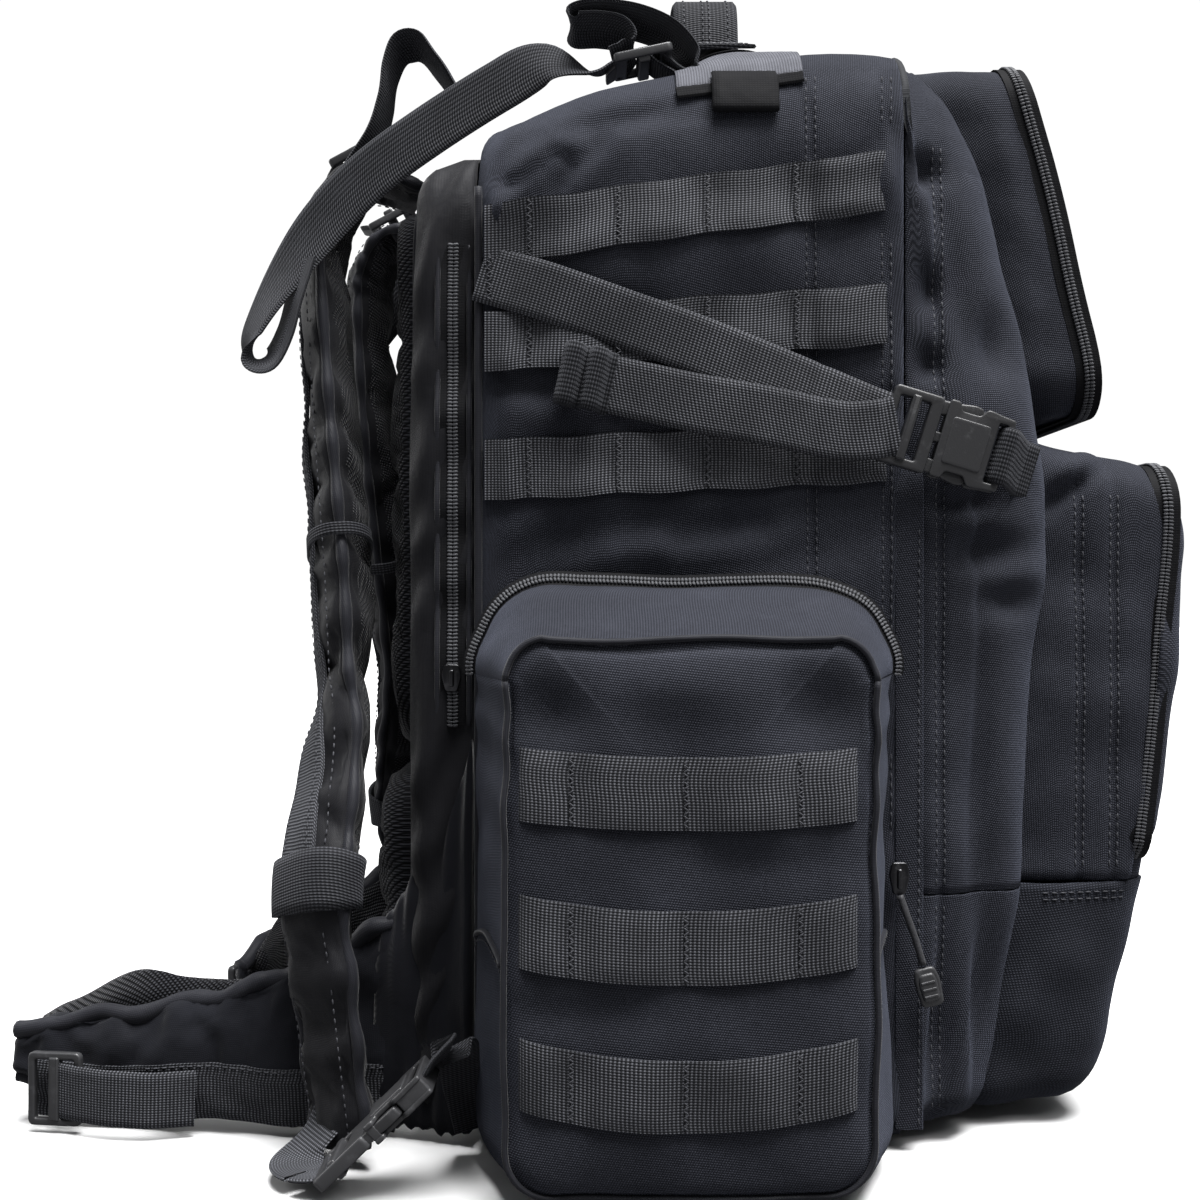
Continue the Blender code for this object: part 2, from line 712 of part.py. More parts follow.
clear_scene()
parts = new_collection("trauma_backpack")
cutters = new_collection("cutters")
nylon = principled("black_nylon", (0.018, 0.019, 0.024), 0.85)
smooth_fabric = principled("smooth_fabric", (0.012, 0.012, 0.014), 0.75)
base_fabric = principled("base_fabric", (0.010, 0.010, 0.012), 0.8)
mesh_fabric = principled("spacer_mesh", (0.020, 0.021, 0.026), 0.95)
webbing = principled("webbing", (0.030, 0.031, 0.035), 0.8)
plastic = principled("buckle_plastic", (0.020, 0.020, 0.022), 0.45)
frame_plastic = principled("frame_plastic", (0.05, 0.05, 0.05), 0.5)
aluminium = principled("aluminium", (0.75, 0.75, 0.76), 0.35, 1.0)
steel = principled("zipper_metal", (0.05, 0.05, 0.055), 0.4, 0.8)
main()
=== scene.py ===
"""The looks of the trauma backpack: its fabric, webbing, zippers, buckles and padding.

Metres, in the CAD's own frame: +Z up, the pockets face -Y, the harness +Y, the wearer's left is -X.
"""

import json
import math

import bpy
import numpy as np
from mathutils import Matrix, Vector, noise
from mathutils.bvhtree import BVHTree

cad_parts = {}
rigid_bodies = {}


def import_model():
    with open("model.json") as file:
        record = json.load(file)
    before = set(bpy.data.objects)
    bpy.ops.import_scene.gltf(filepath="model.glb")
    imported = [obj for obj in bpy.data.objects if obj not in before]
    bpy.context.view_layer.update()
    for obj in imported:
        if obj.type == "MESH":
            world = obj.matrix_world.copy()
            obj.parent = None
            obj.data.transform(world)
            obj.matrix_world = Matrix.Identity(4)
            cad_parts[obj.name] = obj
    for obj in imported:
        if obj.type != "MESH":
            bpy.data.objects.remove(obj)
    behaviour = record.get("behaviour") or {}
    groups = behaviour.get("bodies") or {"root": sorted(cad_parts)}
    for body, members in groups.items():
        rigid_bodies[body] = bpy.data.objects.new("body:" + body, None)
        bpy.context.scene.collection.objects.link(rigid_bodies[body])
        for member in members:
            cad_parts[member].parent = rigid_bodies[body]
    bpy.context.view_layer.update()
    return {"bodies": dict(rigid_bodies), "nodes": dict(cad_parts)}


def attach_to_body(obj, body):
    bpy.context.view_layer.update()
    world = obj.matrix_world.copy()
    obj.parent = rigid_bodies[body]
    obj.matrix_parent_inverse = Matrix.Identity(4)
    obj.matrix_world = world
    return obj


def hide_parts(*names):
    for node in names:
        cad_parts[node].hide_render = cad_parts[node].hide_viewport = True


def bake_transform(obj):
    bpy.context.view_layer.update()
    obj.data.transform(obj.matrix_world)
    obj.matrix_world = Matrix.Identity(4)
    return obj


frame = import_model()

GAP = 0.0006
WEBBING = 0.0018
STRAP_WIDTH = 0.025
ROW_WIDTH = 0.026
POUCH_ROW_WIDTH = 0.028
HALF_WIDTH = 0.160
MAIN_FRONT = -0.1325
MAIN_BACK = 0.054
REAR_BACK = 0.083
REAR_HALF = 0.153
SPLIT_Z = 0.112
FRONT_HALF = 0.157
FRONT_TOP = 0.4855
TOP_PROFILE = ((-0.1325, 0.4855), (-0.104, 0.489), (-0.03, 0.4785), (0.02, 0.466), (0.054, 0.446))
FRONT_PROFILE = (
    (0.000, -0.170), (0.032, -0.176), (0.104, -0.190), (0.195, -0.197), (0.276, -0.200),
    (0.321, -0.197), (0.376, -0.188), (0.430, -0.174), (0.473, -0.156), (0.490, -0.143),
)
UPPER_HALF = 0.115
UPPER_Z = (0.327, 0.489)
UPPER_FACE = ((0.327, -0.2330), (0.346, -0.2330), (0.378, -0.2237), (0.4245, -0.2145), (0.489, -0.198))
LOWER_HALF = 0.125
LOWER_TOP = 0.318
LOWER_SLOPE = 0.020
LOWER_COVER_LOW = 0.122
LOWER_FACE = (
    (0.006, -0.222), (0.026, -0.232), (0.076, -0.244), (0.113, -0.253), (0.126, -0.255),
    (0.185, -0.262), (0.240, -0.266), (0.263, -0.270), (0.299, -0.270), (0.330, -0.262),
)
POUCH_INNER = 0.1632
POUCH_OUTER = 0.2412
POUCH_TOP_INNER = 0.2486
POUCH_CENTRE = -0.0355
POUCH_ROWS_Z = (0.1675, 0.110, 0.054)
SIDE_ROWS = ((0.398, 0.422), (0.352, 0.364), (0.2965, 0.3045))
SIDES = ((-1, "left"), (1, "right"))


# ---------------------------------------------------------------- curves and noise

def interpolate(table, x):
    """The value at x of a broken line through the table's points."""
    if x <= table[0][0]:
        return table[0][1]
    for (x0, y0), (x1, y1) in zip(table, table[1:]):
        if x <= x1:
            return y0 + (y1 - y0) * (x - x0) / (x1 - x0)
    return table[-1][1]


def eased(table, x, reach=0.012):
    """interpolate() with its corners rounded."""
    return sum(interpolate(table, x + reach * k / 2) for k in (-2, -1, 0, 1, 2)) / 5


def smooth_line(points, count):
    """Points on a smooth curve through the given points."""
    knots = [Vector(point) for point in points]
    knots = [knots[0] * 2 - knots[1], *knots, knots[-1] * 2 - knots[-2]]
    spans = len(knots) - 3
    line = []
    for step in range(count):
        place = step / (count - 1) * spans
        span = min(int(place), spans - 1)
        t = place - span
        a, b, c, d = knots[span:span + 4]
        square = 2 * a - 5 * b + 4 * c - d
        cube = 3 * b - a - 3 * c + d
        line.append(0.5 * (2 * b + (c - a) * t + square * t * t + cube * t ** 3))
    return line


def evenly(points, step):
    """The same line with its points about one step apart."""
    points = [Vector(point) for point in points]
    lengths = [0.0]
    for a, b in zip(points, points[1:]):
        lengths.append(lengths[-1] + (b - a).length)
    count = max(2, round(lengths[-1] / step) + 1)
    line = []
    place = 0
    for index in range(count):
        target = lengths[-1] * index / (count - 1)
        while place < len(points) - 2 and lengths[place + 1] < target:
            place += 1
        span = max(lengths[place + 1] - lengths[place], 1e-9)
        share = min(1.0, max(0.0, (target - lengths[place]) / span))
        line.append(points[place].lerp(points[place + 1], share))
    return line


def rounded_outline(half, low, high, low_radius, high_radius, spacing=0.004):
    """A rounded rectangle as (across, up) points about one spacing apart, from its foot's middle, anticlockwise."""
    corners = (
        (half - low_radius, low + low_radius, low_radius, -90),
        (half - high_radius, high - high_radius, high_radius, 0),
        (-half + high_radius, high - high_radius, high_radius, 90),
        (-half + low_radius, low + low_radius, low_radius, 180),
    )
    points = [(0.0, low)]
    for x, z, radius, start in corners:
        for step in range(9):
            angle = math.radians(start + 90 * step / 8)
            points.append((x + radius * math.cos(angle), z + radius * math.sin(angle)))
    points.append((0.0, low))
    line = evenly([(x, 0, z) for x, z in points], spacing)
    return [(point.x, point.z) for point in line[:-1]]


def fixed_outline(half, low, high, low_radius, high_radius, count):
    """rounded_outline with an exact number of points."""
    around = 4 * half + 2 * (high - low) - 1.717 * (low_radius + high_radius)
    line = rounded_outline(half, low, high, low_radius, high_radius, around / count / 3)
    return [line[int(index * len(line) / count)] for index in range(count)]


def wave(x, y, z=0.0, seed=0.0):
    """Smooth noise, about -0.5 to 0.5."""
    return noise.noise(Vector((x + seed * 7.31, y - seed * 3.17, z + seed * 5.71)))


def bump_at(y, z, centre_y, centre_z, size_y, size_z):
    return math.exp(-((y - centre_y) / size_y) ** 2 - ((z - centre_z) / size_z) ** 2)


def clamp(value, low=0.0, high=1.0):
    return max(low, min(high, value))


def ease(value):
    value = clamp(value)
    return value * value * (3 - 2 * value)


# ---------------------------------------------------------------- meshes

def make(name, verts, faces, material, uvs=None):
    mesh = bpy.data.meshes.new(name)
    mesh.from_pydata([tuple(vert) for vert in verts], [], faces)
    if uvs is not None:
        layer = mesh.uv_layers.new(name="UVMap")
        layer.data.foreach_set("uv", np.array(uvs, np.float32).ravel())
    mesh.materials.append(material)
    mesh.shade_smooth()
    made = bpy.data.objects.new(name, mesh)
    bpy.context.scene.collection.objects.link(made)
    return made


def surface(name, rows, material, wrap=False, caps=False, away=None, fill_last=False, sharp=None):
    """A surface through rows of points, with UVs in metres; away is a point that its normals point from."""
    grid = np.array([[tuple(point) for point in row] for row in rows], float)
    count, width = grid.shape[:2]
    columns = width if wrap else width - 1
    along = np.zeros((count, width + 1))
    for j in range(width):
        following = grid[:, (j + 1) % width] - grid[:, j]
        along[:, j + 1] = along[:, j] + np.linalg.norm(following, axis=1)
    down = np.zeros((count, width + 1))
    for i in range(1, count):
        step = np.linalg.norm(grid[i] - grid[i - 1], axis=1)
        down[i, :width] = down[i - 1, :width] + step
        down[i, width] = down[i, 0]
    verts = grid.reshape(-1, 3)
    faces = []
    uvs = []
    for i in range(count - 1):
        for j in range(columns):
            k = (j + 1) % width
            faces.append((i * width + j, i * width + k, (i + 1) * width + k, (i + 1) * width + j))
            uvs.append([
                (along[i, j], down[i, j]), (along[i, j + 1], down[i, j + 1]),
                (along[i + 1, j + 1], down[i + 1, j + 1]), (along[i + 1, j], down[i + 1, j]),
            ])
    if caps:
        for i in (0, count - 1):
            ring = [i * width + j for j in range(width)]
            if i == 0:
                ring.reverse()
            faces.append(tuple(ring))
            uvs.append([(verts[index][0] + verts[index][1], verts[index][2]) for index in ring])
    if fill_last:
        base = (count - 1) * width
        for j in range(width // 2 - 1):
            quad = (base + j, base + j + 1, base + width - 2 - j, base + width - 1 - j)
            faces.append(quad)
            uvs.append([(verts[index][0], verts[index][2]) for index in quad])
    if away is not None:
        total = 0.0
        for face in faces[::7]:
            a, b, c = (verts[face[index]] for index in (0, 1, 2))
            total += float(np.dot(np.cross(b - a, c - a), a - np.array(away)))
        if total < 0:
            faces = [tuple(reversed(face)) for face in faces]
            uvs = [list(reversed(corner)) for corner in uvs]
    made = make(name, verts, faces, material, [pair for corner in uvs for pair in corner])
    if sharp:
        made.data.set_sharp_from_angle(angle=math.radians(sharp))
    return made


def thicken(obj, thickness, inner=None):
    """Gives a sheet its cloth's thickness, inwards, with its own material inside."""
    solid = obj.modifiers.new("cloth", "SOLIDIFY")
    solid.thickness = thickness
    solid.offset = -1.0
    if inner:
        obj.data.materials.append(inner)
        solid.material_offset = 1
        solid.material_offset_rim = 0
    return obj


def flat_uvs(obj, across, up):
    """UVs in metres straight from two of a mesh's own axes, for a nearly flat face."""
    mesh = obj.data
    places = np.empty(len(mesh.vertices) * 3, np.float32)
    mesh.vertices.foreach_get("co", places)
    corners = np.empty(len(mesh.loops), np.int32)
    mesh.loops.foreach_get("vertex_index", corners)
    chosen = places.reshape(-1, 3)[corners][:, [across, up]]
    mesh.uv_layers[0].data.foreach_set("uv", np.ascontiguousarray(chosen).ravel())
    return obj


def directions(line):
    found = []
    for index in range(len(line)):
        before = line[max(index - 1, 0)]
        after = line[min(index + 1, len(line) - 1)]
        found.append((after - before).normalized())
    return found


def ribbon(name, line, across, width, thickness, material, columns=8):
    """Webbing along a line; across is its width direction, width a number, each one or one for each point."""
    line = [Vector(point) for point in line]
    acrosses = across if isinstance(across, list) else [across] * len(line)
    widths = width if isinstance(width, list) else [width] * len(line)
    rows = []
    for point, along, side, wide in zip(line, directions(line), acrosses, widths):
        side = Vector(side)
        side = (side - along * side.dot(along)).normalized()
        up = along.cross(side)
        half = wide / 2
        edge = thickness * 0.45
        section = [(-half + edge + (wide - 2 * edge) * step / columns, thickness / 2) for step in range(columns + 1)]
        section.append((half, 0.0))
        section += [(-u, -v) for u, v in section]
        rows.append([point + side * u + up * v for u, v in section])
    return surface(name, rows, material, wrap=True, caps=True, sharp=60)


def tube(name, line, radius, material, sides=8):
    """A round cord or piping along a line; radius is a number or one for each point."""
    line = [Vector(point) for point in line]
    radii = radius if isinstance(radius, list) else [radius] * len(line)
    runs = directions(line)
    side = runs[0].orthogonal().normalized()
    rows = []
    for point, along, wide in zip(line, runs, radii):
        side = (side - along * side.dot(along)).normalized()
        up = along.cross(side)
        ring = []
        for step in range(sides):
            angle = 2 * math.pi * step / sides
            ring.append(point + (side * math.cos(angle) + up * math.sin(angle)) * wide)
        rows.append(ring)
    return surface(name, rows, material, wrap=True, caps=True)


TACK_PITCH = 0.0016


class Beads:
    """Many small rounded bars in one piece: stitches, bar tacks and zipper teeth."""

    def __init__(self):
        self.verts = []
        self.faces = []

    def bar(self, a, b, radius, up=None):
        a, b = Vector(a), Vector(b)
        along = (b - a).normalized()
        side = along.cross(Vector(up)).normalized() if up is not None else along.orthogonal().normalized()
        rise = side.cross(along)
        base = len(self.verts)
        self.verts.append(a)
        for place in (a.lerp(b, 0.22), a.lerp(b, 0.78)):
            for u, v in ((1, 0), (0, 1), (-1, 0), (0, -1)):
                self.verts.append(place + side * u * radius + rise * v * radius)
        self.verts.append(b)
        for step in range(4):
            after = (step + 1) % 4
            self.faces.append((base, base + 1 + after, base + 1 + step))
            self.faces.append((base + 1 + step, base + 1 + after, base + 5 + after, base + 5 + step))
            self.faces.append((base + 5 + step, base + 5 + after, base + 9))

    def stitch(self, line, length=0.0030, gap=0.0013, radius=0.00038):
        """A line of stitches."""
        spots = evenly(line, length + gap)
        for a, b in zip(spots, spots[1:]):
            self.bar(a, a.lerp(b, length / (length + gap)), radius)

    def tack(self, low, high, along, half=0.0013):
        """A bar tack: a tight zigzag from low to high, as wide as two halves of along."""
        low, high = Vector(low), Vector(high)
        along = Vector(along).normalized() * half
        count = max(3, round((high - low).length / TACK_PITCH))
        spots = [low.lerp(high, step / count) + along * (1 if step % 2 else -1) for step in range(count + 1)]
        for a, b in zip(spots, spots[1:]):
            self.bar(a, b, 0.00036)

    def finish(self, name, material, body):
        if not self.verts:
            return None
        made = make(name, self.verts, self.faces, material)
        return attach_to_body(made, body)


def attach(obj, body, slot=None, *nodes):
    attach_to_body(obj, body)
    if nodes:
        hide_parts(*nodes)
    return obj


# ---------------------------------------------------------------- materials

class Shader:
    """A material's node tree, built by short calls."""

    def __init__(self, name, colour, roughness, **constants):
        self.material = bpy.data.materials.new(name)
        self.material.use_nodes = True
        self.tree = self.material.node_tree
        self.principled = self.tree.nodes["Principled BSDF"]
        self.principled.inputs["Base Color"].default_value = (*colour, 1.0)
        self.principled.inputs["Roughness"].default_value = roughness
        for key, value in constants.items():
            self.principled.inputs[key.replace("_", " ")].default_value = value

    def node(self, kind, **settings):
        made = self.tree.nodes.new(kind)
        for key, value in settings.items():
            setattr(made, key, value)
        return made

    def feed(self, socket, value):
        if isinstance(value, bpy.types.NodeSocket):
            self.tree.links.new(value, socket)
        else:
            socket.default_value = value

    def math(self, operation, a, b=0.0, c=0.0):
        made = self.node("ShaderNodeMath", operation=operation)
        for socket, value in zip(made.inputs, (a, b, c)):
            self.feed(socket, value)
        return made.outputs[0]

    def uv(self):
        split = self.node("ShaderNodeSeparateXYZ")
        self.feed(split.inputs[0], self.node("ShaderNodeUVMap", uv_map="UVMap").outputs[0])
        return split.outputs[0], split.outputs[1]

    def noise(self, scale, detail=3.0, rough=0.5):
        made = self.node("ShaderNodeTexNoise")
        self.feed(made.inputs["Vector"], self.node("ShaderNodeTexCoord").outputs["Object"])
        made.inputs["Scale"].default_value = scale
        made.inputs["Detail"].default_value = detail
        made.inputs["Roughness"].default_value = rough
        return made.outputs["Fac"]

    def ramp(self, value, low, high, to_low=0.0, to_high=1.0):
        made = self.node("ShaderNodeMapRange")
        for socket, number in zip(made.inputs, (value, low, high, to_low, to_high)):
            self.feed(socket, number)
        return made.outputs[0]

    def mix(self, share, a, b):
        made = self.node("ShaderNodeMix", data_type="RGBA")
        self.feed(made.inputs[0], share)
        for socket, colour in ((made.inputs[6], a), (made.inputs[7], b)):
            self.feed(socket, colour if isinstance(colour, bpy.types.NodeSocket) else (*colour, 1.0))
        return made.outputs[2]

    def threads(self, value, pitch):
        """A wave of 0 to 1 across a coordinate in metres."""
        turned = self.math("MULTIPLY", value, 2 * math.pi / pitch)
        return self.math("MULTIPLY_ADD", self.math("SINE", turned), 0.5, 0.5)

    def bump(self, height, distance, strength=1.0, under=None):
        made = self.node("ShaderNodeBump")
        made.inputs["Strength"].default_value = strength
        made.inputs["Distance"].default_value = distance
        self.feed(made.inputs["Height"], height)
        if under:
            self.feed(made.inputs["Normal"], under)
        return made.outputs[0]

    def finish(self, colour=None, roughness=None, normal=None):
        if colour:
            self.feed(self.principled.inputs["Base Color"], colour)
        if roughness:
            self.feed(self.principled.inputs["Roughness"], roughness)
        if normal:
            self.feed(self.principled.inputs["Normal"], normal)
        return self.material


def woven(name, dark, light, pitch=0.0011):
    """Plain-woven nylon: warp and weft threads, painted glints on its thread crossings and fine specks, a little
    fading and rubbed spots.
    """
    s = Shader(name, dark, 0.85, Sheen_Weight=0.12, Sheen_Roughness=0.45, Specular_IOR_Level=0.12)
    s.principled.inputs["Sheen Tint"].default_value = (0.62, 0.68, 0.9, 1.0)
    u, v = s.uv()
    warp = s.threads(s.math("ADD", u, s.math("MULTIPLY", v, 0.5)), pitch)
    weft = s.threads(s.math("SUBTRACT", v, s.math("MULTIPLY", u, 0.12)), pitch * 0.9)
    cloth = s.math("MULTIPLY", warp, weft)
    glint_specks = s.noise(900.0, 2.0)
    fade = s.noise(9.0, 4.0, 0.6)
    rub = s.ramp(s.noise(38.0, 5.0, 0.7), 0.52, 0.78)
    # Painted glint: thread crossings and fine specks are mixed towards the light colour, partly the weave's own
    # pattern; fading and rubbed spots are wear.
    lit = s.math("MULTIPLY_ADD", cloth, 0.85, s.math("MULTIPLY", glint_specks, 0.35))
    lit = s.math("MULTIPLY", lit, s.ramp(fade, 0.3, 0.7, 0.75, 1.2))
    lit = s.math("ADD", lit, s.math("MULTIPLY", rub, 0.16))
    colour = s.mix(s.math("MINIMUM", lit, 1.0), dark, light)
    roughness = s.ramp(s.math("ADD", cloth, s.math("MULTIPLY", rub, 0.3)), 0.0, 1.2, 0.85, 0.62)
    creases = s.bump(s.noise(70.0, 4.0, 0.55), 0.0011, 0.55)
    return s.finish(colour, roughness, s.bump(cloth, 0.00028, 0.9, creases))


def webbed(name, dark, light, across=0.00115, along=0.00165, power=1.6, depth=0.0005):
    """Nylon webbing: light thread crossings in a grid on dark."""
    s = Shader(name, dark, 0.7, Sheen_Weight=0.10, Sheen_Roughness=0.5, Specular_IOR_Level=0.14)
    s.principled.inputs["Sheen Tint"].default_value = (0.8, 0.82, 0.9, 1.0)
    u, v = s.uv()
    ribs = s.threads(v, along)
    runs = s.threads(u, across)
    dots = s.math("POWER", s.math("MULTIPLY", ribs, s.math("MULTIPLY_ADD", runs, 0.75, 0.25)), power)
    wear = s.noise(45.0, 5.0, 0.65)
    fuzz = s.noise(1600.0, 1.0)
    lit = s.math("MULTIPLY", dots, s.ramp(wear, 0.3, 0.7, 0.55, 1.15))
    lit = s.math("MULTIPLY_ADD", fuzz, 0.12, lit)
    colour = s.mix(s.math("MINIMUM", lit, 1.0), dark, light)
    height = s.math("ADD", s.math("MULTIPLY", ribs, 0.7), s.math("MULTIPLY", runs, 0.45))
    return s.finish(colour, s.ramp(dots, 0.0, 1.0, 0.78, 0.55), s.bump(height, depth, 0.8))


def plain_cloth(name, dark, light, rough=0.62, pitch=0.0007, sheen=0.3):
    """Smooth lining-weight fabric, with soft puckers."""
    s = Shader(name, dark, rough, Sheen_Weight=sheen * 0.5, Sheen_Roughness=0.35, Specular_IOR_Level=0.14)
    u, v = s.uv()
    fine = s.math("MULTIPLY", s.threads(u, pitch), s.threads(v, pitch))
    patches = s.noise(24.0, 4.0, 0.6)
    lit = s.math("MULTIPLY_ADD", fine, 0.35, s.math("MULTIPLY", patches, 0.8))
    creases = s.bump(s.noise(110.0, 3.0, 0.5), 0.0009, 0.6)
    return s.finish(
        s.mix(s.math("MINIMUM", lit, 1.0), dark, light), s.ramp(patches, 0.2, 0.8, rough - 0.1, rough + 0.12),
        s.bump(fine, 0.00012, 0.6, creases),
    )


KNIT_PITCH = 0.0021


def knit(name, dark, light):
    """Spacer mesh: an open knit of slanting rows."""
    s = Shader(name, dark, 0.9, Sheen_Weight=0.15, Sheen_Roughness=0.4, Specular_IOR_Level=0.10)
    u, v = s.uv()
    slant = s.threads(s.math("ADD", u, s.math("MULTIPLY", v, 0.6)), KNIT_PITCH)
    row = s.threads(s.math("SUBTRACT", v, s.math("MULTIPLY", u, 0.35)), KNIT_PITCH * 0.75)
    holes = s.math("POWER", s.math("MULTIPLY", slant, row), 0.8)
    patches = s.noise(30.0, 3.0)
    lit = s.math("MULTIPLY", holes, s.ramp(patches, 0.3, 0.7, 0.7, 1.2))
    return s.finish(s.mix(s.math("MINIMUM", lit, 1.0), dark, light), None, s.bump(holes, 0.0011, 0.9))


def moulded(name, dark, light, rough=0.4):
    """Moulded acetal: a fine spark texture, polished and scuffed on its edges."""
    s = Shader(name, dark, rough, Specular_IOR_Level=0.5)
    grain = s.noise(1500.0, 2.0)
    scuffs = s.ramp(s.noise(160.0, 6.0, 0.7), 0.55, 0.75)
    edge = s.ramp(s.node("ShaderNodeNewGeometry").outputs["Pointiness"], 0.52, 0.62)
    lit = s.math("MINIMUM", s.math("MULTIPLY_ADD", edge, 0.6, s.math("MULTIPLY", scuffs, 0.35)), 1.0)
    roughness = s.ramp(scuffs, 0.0, 1.0, rough, rough + 0.18)
    return s.finish(s.mix(lit, dark, light), roughness, s.bump(grain, 0.00012, 0.5))


def thread(name, dark, light):
    s = Shader(name, dark, 0.55, Sheen_Weight=0.1, Specular_IOR_Level=0.3)
    # Lighter specks: the strands' twist on thread and cord; on the zipper coil they are a painted glint.
    twist = s.noise(1400.0, 1.0)
    return s.finish(s.mix(twist, dark, light), None, s.bump(twist, 0.0002, 0.6))


NYLON = woven("nylon", (0.0044, 0.0047, 0.0062), (0.062, 0.0655, 0.084))
BASE = woven("base_nylon", (0.0046, 0.0049, 0.0064), (0.042, 0.045, 0.058), 0.0014)
PATCH = webbed("handle_patch", (0.030, 0.030, 0.036), (0.240, 0.246, 0.282), 0.0012, 0.0009, 0.8, 0.0003)
FLEECE = plain_cloth("brushed_fabric", (0.0045, 0.0047, 0.0065), (0.018, 0.019, 0.025), 0.8, 0.0009, 0.5)
LINING = plain_cloth("lining", (0.020, 0.021, 0.024), (0.045, 0.047, 0.052), 0.7, 0.0016)
SMOOTH = plain_cloth("smooth_fabric", (0.0055, 0.0055, 0.0065), (0.022, 0.022, 0.026), 0.55)
BINDING = plain_cloth("binding", (0.007, 0.007, 0.0088), (0.040, 0.041, 0.050), 0.5, 0.0010, 0.3)
GRID = webbed("webbing_grid", (0.0056, 0.0058, 0.0068), (0.195, 0.200, 0.224))
# Ribbed webbing: its darker tone than the grid webbing is partly its own colour and partly painted shade, for the
# lifters and folded strap ends that lie in shadow.
RIBBED_AND_SHADE = webbed("webbing_ribbed_shaded", (0.0052, 0.0053, 0.0064), (0.070, 0.072, 0.082), 0.0019, 0.0013, 1.0)
MESH = knit("spacer_mesh", (0.005, 0.005, 0.006), (0.055, 0.057, 0.068))
PLASTIC = moulded("buckle_plastic", (0.030, 0.030, 0.032), (0.120, 0.122, 0.130), 0.36)
SHEET = moulded("frame_sheet_plastic", (0.045, 0.045, 0.046), (0.12, 0.12, 0.12), 0.5)
METAL = moulded("slider_metal", (0.035, 0.035, 0.038), (0.30, 0.30, 0.31), 0.3)
# Zipper coil: its light tone is a painted glint on the black teeth.
COIL_AND_GLINT = thread("zipper_coil", (0.024, 0.024, 0.027), (0.150, 0.154, 0.168))
# Near-black zipper tape; the same black is painted shadow under and over the handle patch, and partly the tab's
# shade.
TAPE_AND_SHADE = plain_cloth("zipper_tape_and_shade", (0.0025, 0.0025, 0.003), (0.010, 0.010, 0.012), 0.75, 0.0012, 0.0)
THREAD = thread("sewing_thread", (0.018, 0.018, 0.022), (0.090, 0.093, 0.108))
CORD = thread("cord_sheath", (0.012, 0.012, 0.014), (0.060, 0.060, 0.066))
ALUMINIUM = moulded("stay_aluminium", (0.55, 0.55, 0.56), (0.8, 0.8, 0.8), 0.35)
for hard in (METAL, ALUMINIUM):
    hard.node_tree.nodes["Principled BSDF"].inputs["Metallic"].default_value = 1.0


# ---------------------------------------------------------------- camera, light and floor

def set_stage():
    camera = bpy.data.cameras.new("camera")
    camera.lens = 51.06
    camera.sensor_width = 36.0
    made = bpy.data.objects.new("camera", camera)
    bpy.context.scene.collection.objects.link(made)
    made.location = (-0.90, 0.0, 0.24)
    made.rotation_euler = (math.radians(90), 0, math.radians(-90))
    bpy.context.scene.camera = made

    world = bpy.data.worlds.new("studio")
    world.use_nodes = True
    tree = world.node_tree
    tree.nodes["Background"].inputs["Color"].default_value = (0.96, 0.98, 1.0, 1.0)
    tree.nodes["Background"].inputs["Strength"].default_value = 0.11
    white = tree.nodes.new("ShaderNodeBackground")
    white.inputs["Strength"].default_value = 1.3
    pick = tree.nodes.new("ShaderNodeMixShader")
    tree.links.new(tree.nodes.new("ShaderNodeLightPath").outputs["Is Camera Ray"], pick.inputs[0])
    tree.links.new(tree.nodes["Background"].outputs[0], pick.inputs[1])
    tree.links.new(white.outputs[0], pick.inputs[2])
    tree.links.new(pick.outputs[0], tree.nodes["World Output"].inputs["Surface"])
    bpy.context.scene.world = world
    bpy.context.scene.view_settings.view_transform = "Standard"

    sun = bpy.data.lights.new("overhead", "SUN")
    sun.energy = 7.2
    sun.angle = math.radians(36)
    overhead = bpy.data.objects.new("overhead", sun)
    bpy.context.scene.collection.objects.link(overhead)
    overhead.rotation_euler = Vector((0.19, 0.18, -1.0)).to_track_quat("-Z", "Y").to_euler()

    def lamp(name, place, target, size, power):
        data = bpy.data.lights.new(name, "AREA")
        data.shape = "RECTANGLE"
        data.size, data.size_y = size
        data.energy = power
        light = bpy.data.objects.new(name, data)
        bpy.context.scene.collection.objects.link(light)
        light.location = place
        light.rotation_euler = (Vector(target) - Vector(place)).to_track_quat("-Z", "Y").to_euler()

    lamp("key", (-1.1, -0.7, 1.5), (0, -0.05, 0.3), (0.9, 0.9), 8)
    lamp("rear fill", (0.7, 1.8, 0.9), (0, 0.08, 0.25), (1.2, 0.9), 12)

    grid = [[(x, y, 0.0) for y in (-14.0, -4.0, 0.0, 4.0, 14.0)] for x in (-14.0, -4.0, 0.0, 4.0, 14.0)]
    s = Shader("floor", (0.9, 0.9, 0.9), 0.95)
    tone = s.noise(3.0, 3.0)
    seen = s.mix(tone, (0.90, 0.90, 0.90), (0.93, 0.93, 0.93))
    bounced = s.mix(tone, (0.12, 0.12, 0.125), (0.14, 0.14, 0.145))
    floor = surface(
        "floor", grid, s.finish(s.mix(s.node("ShaderNodeLightPath").outputs["Is Camera Ray"], bounced, seen)),
        away=(0, 0, -5),
    )


set_stage()


# ---------------------------------------------------------------- collected stitching and zipper coils

BODIES = sorted(frame["bodies"])
stitches = {body: Beads() for body in BODIES}
coils = {body: Beads() for body in BODIES}


# ---------------------------------------------------------------- main compartment

def top_height(y):
    return eased(TOP_PROFILE, y, 0.02)


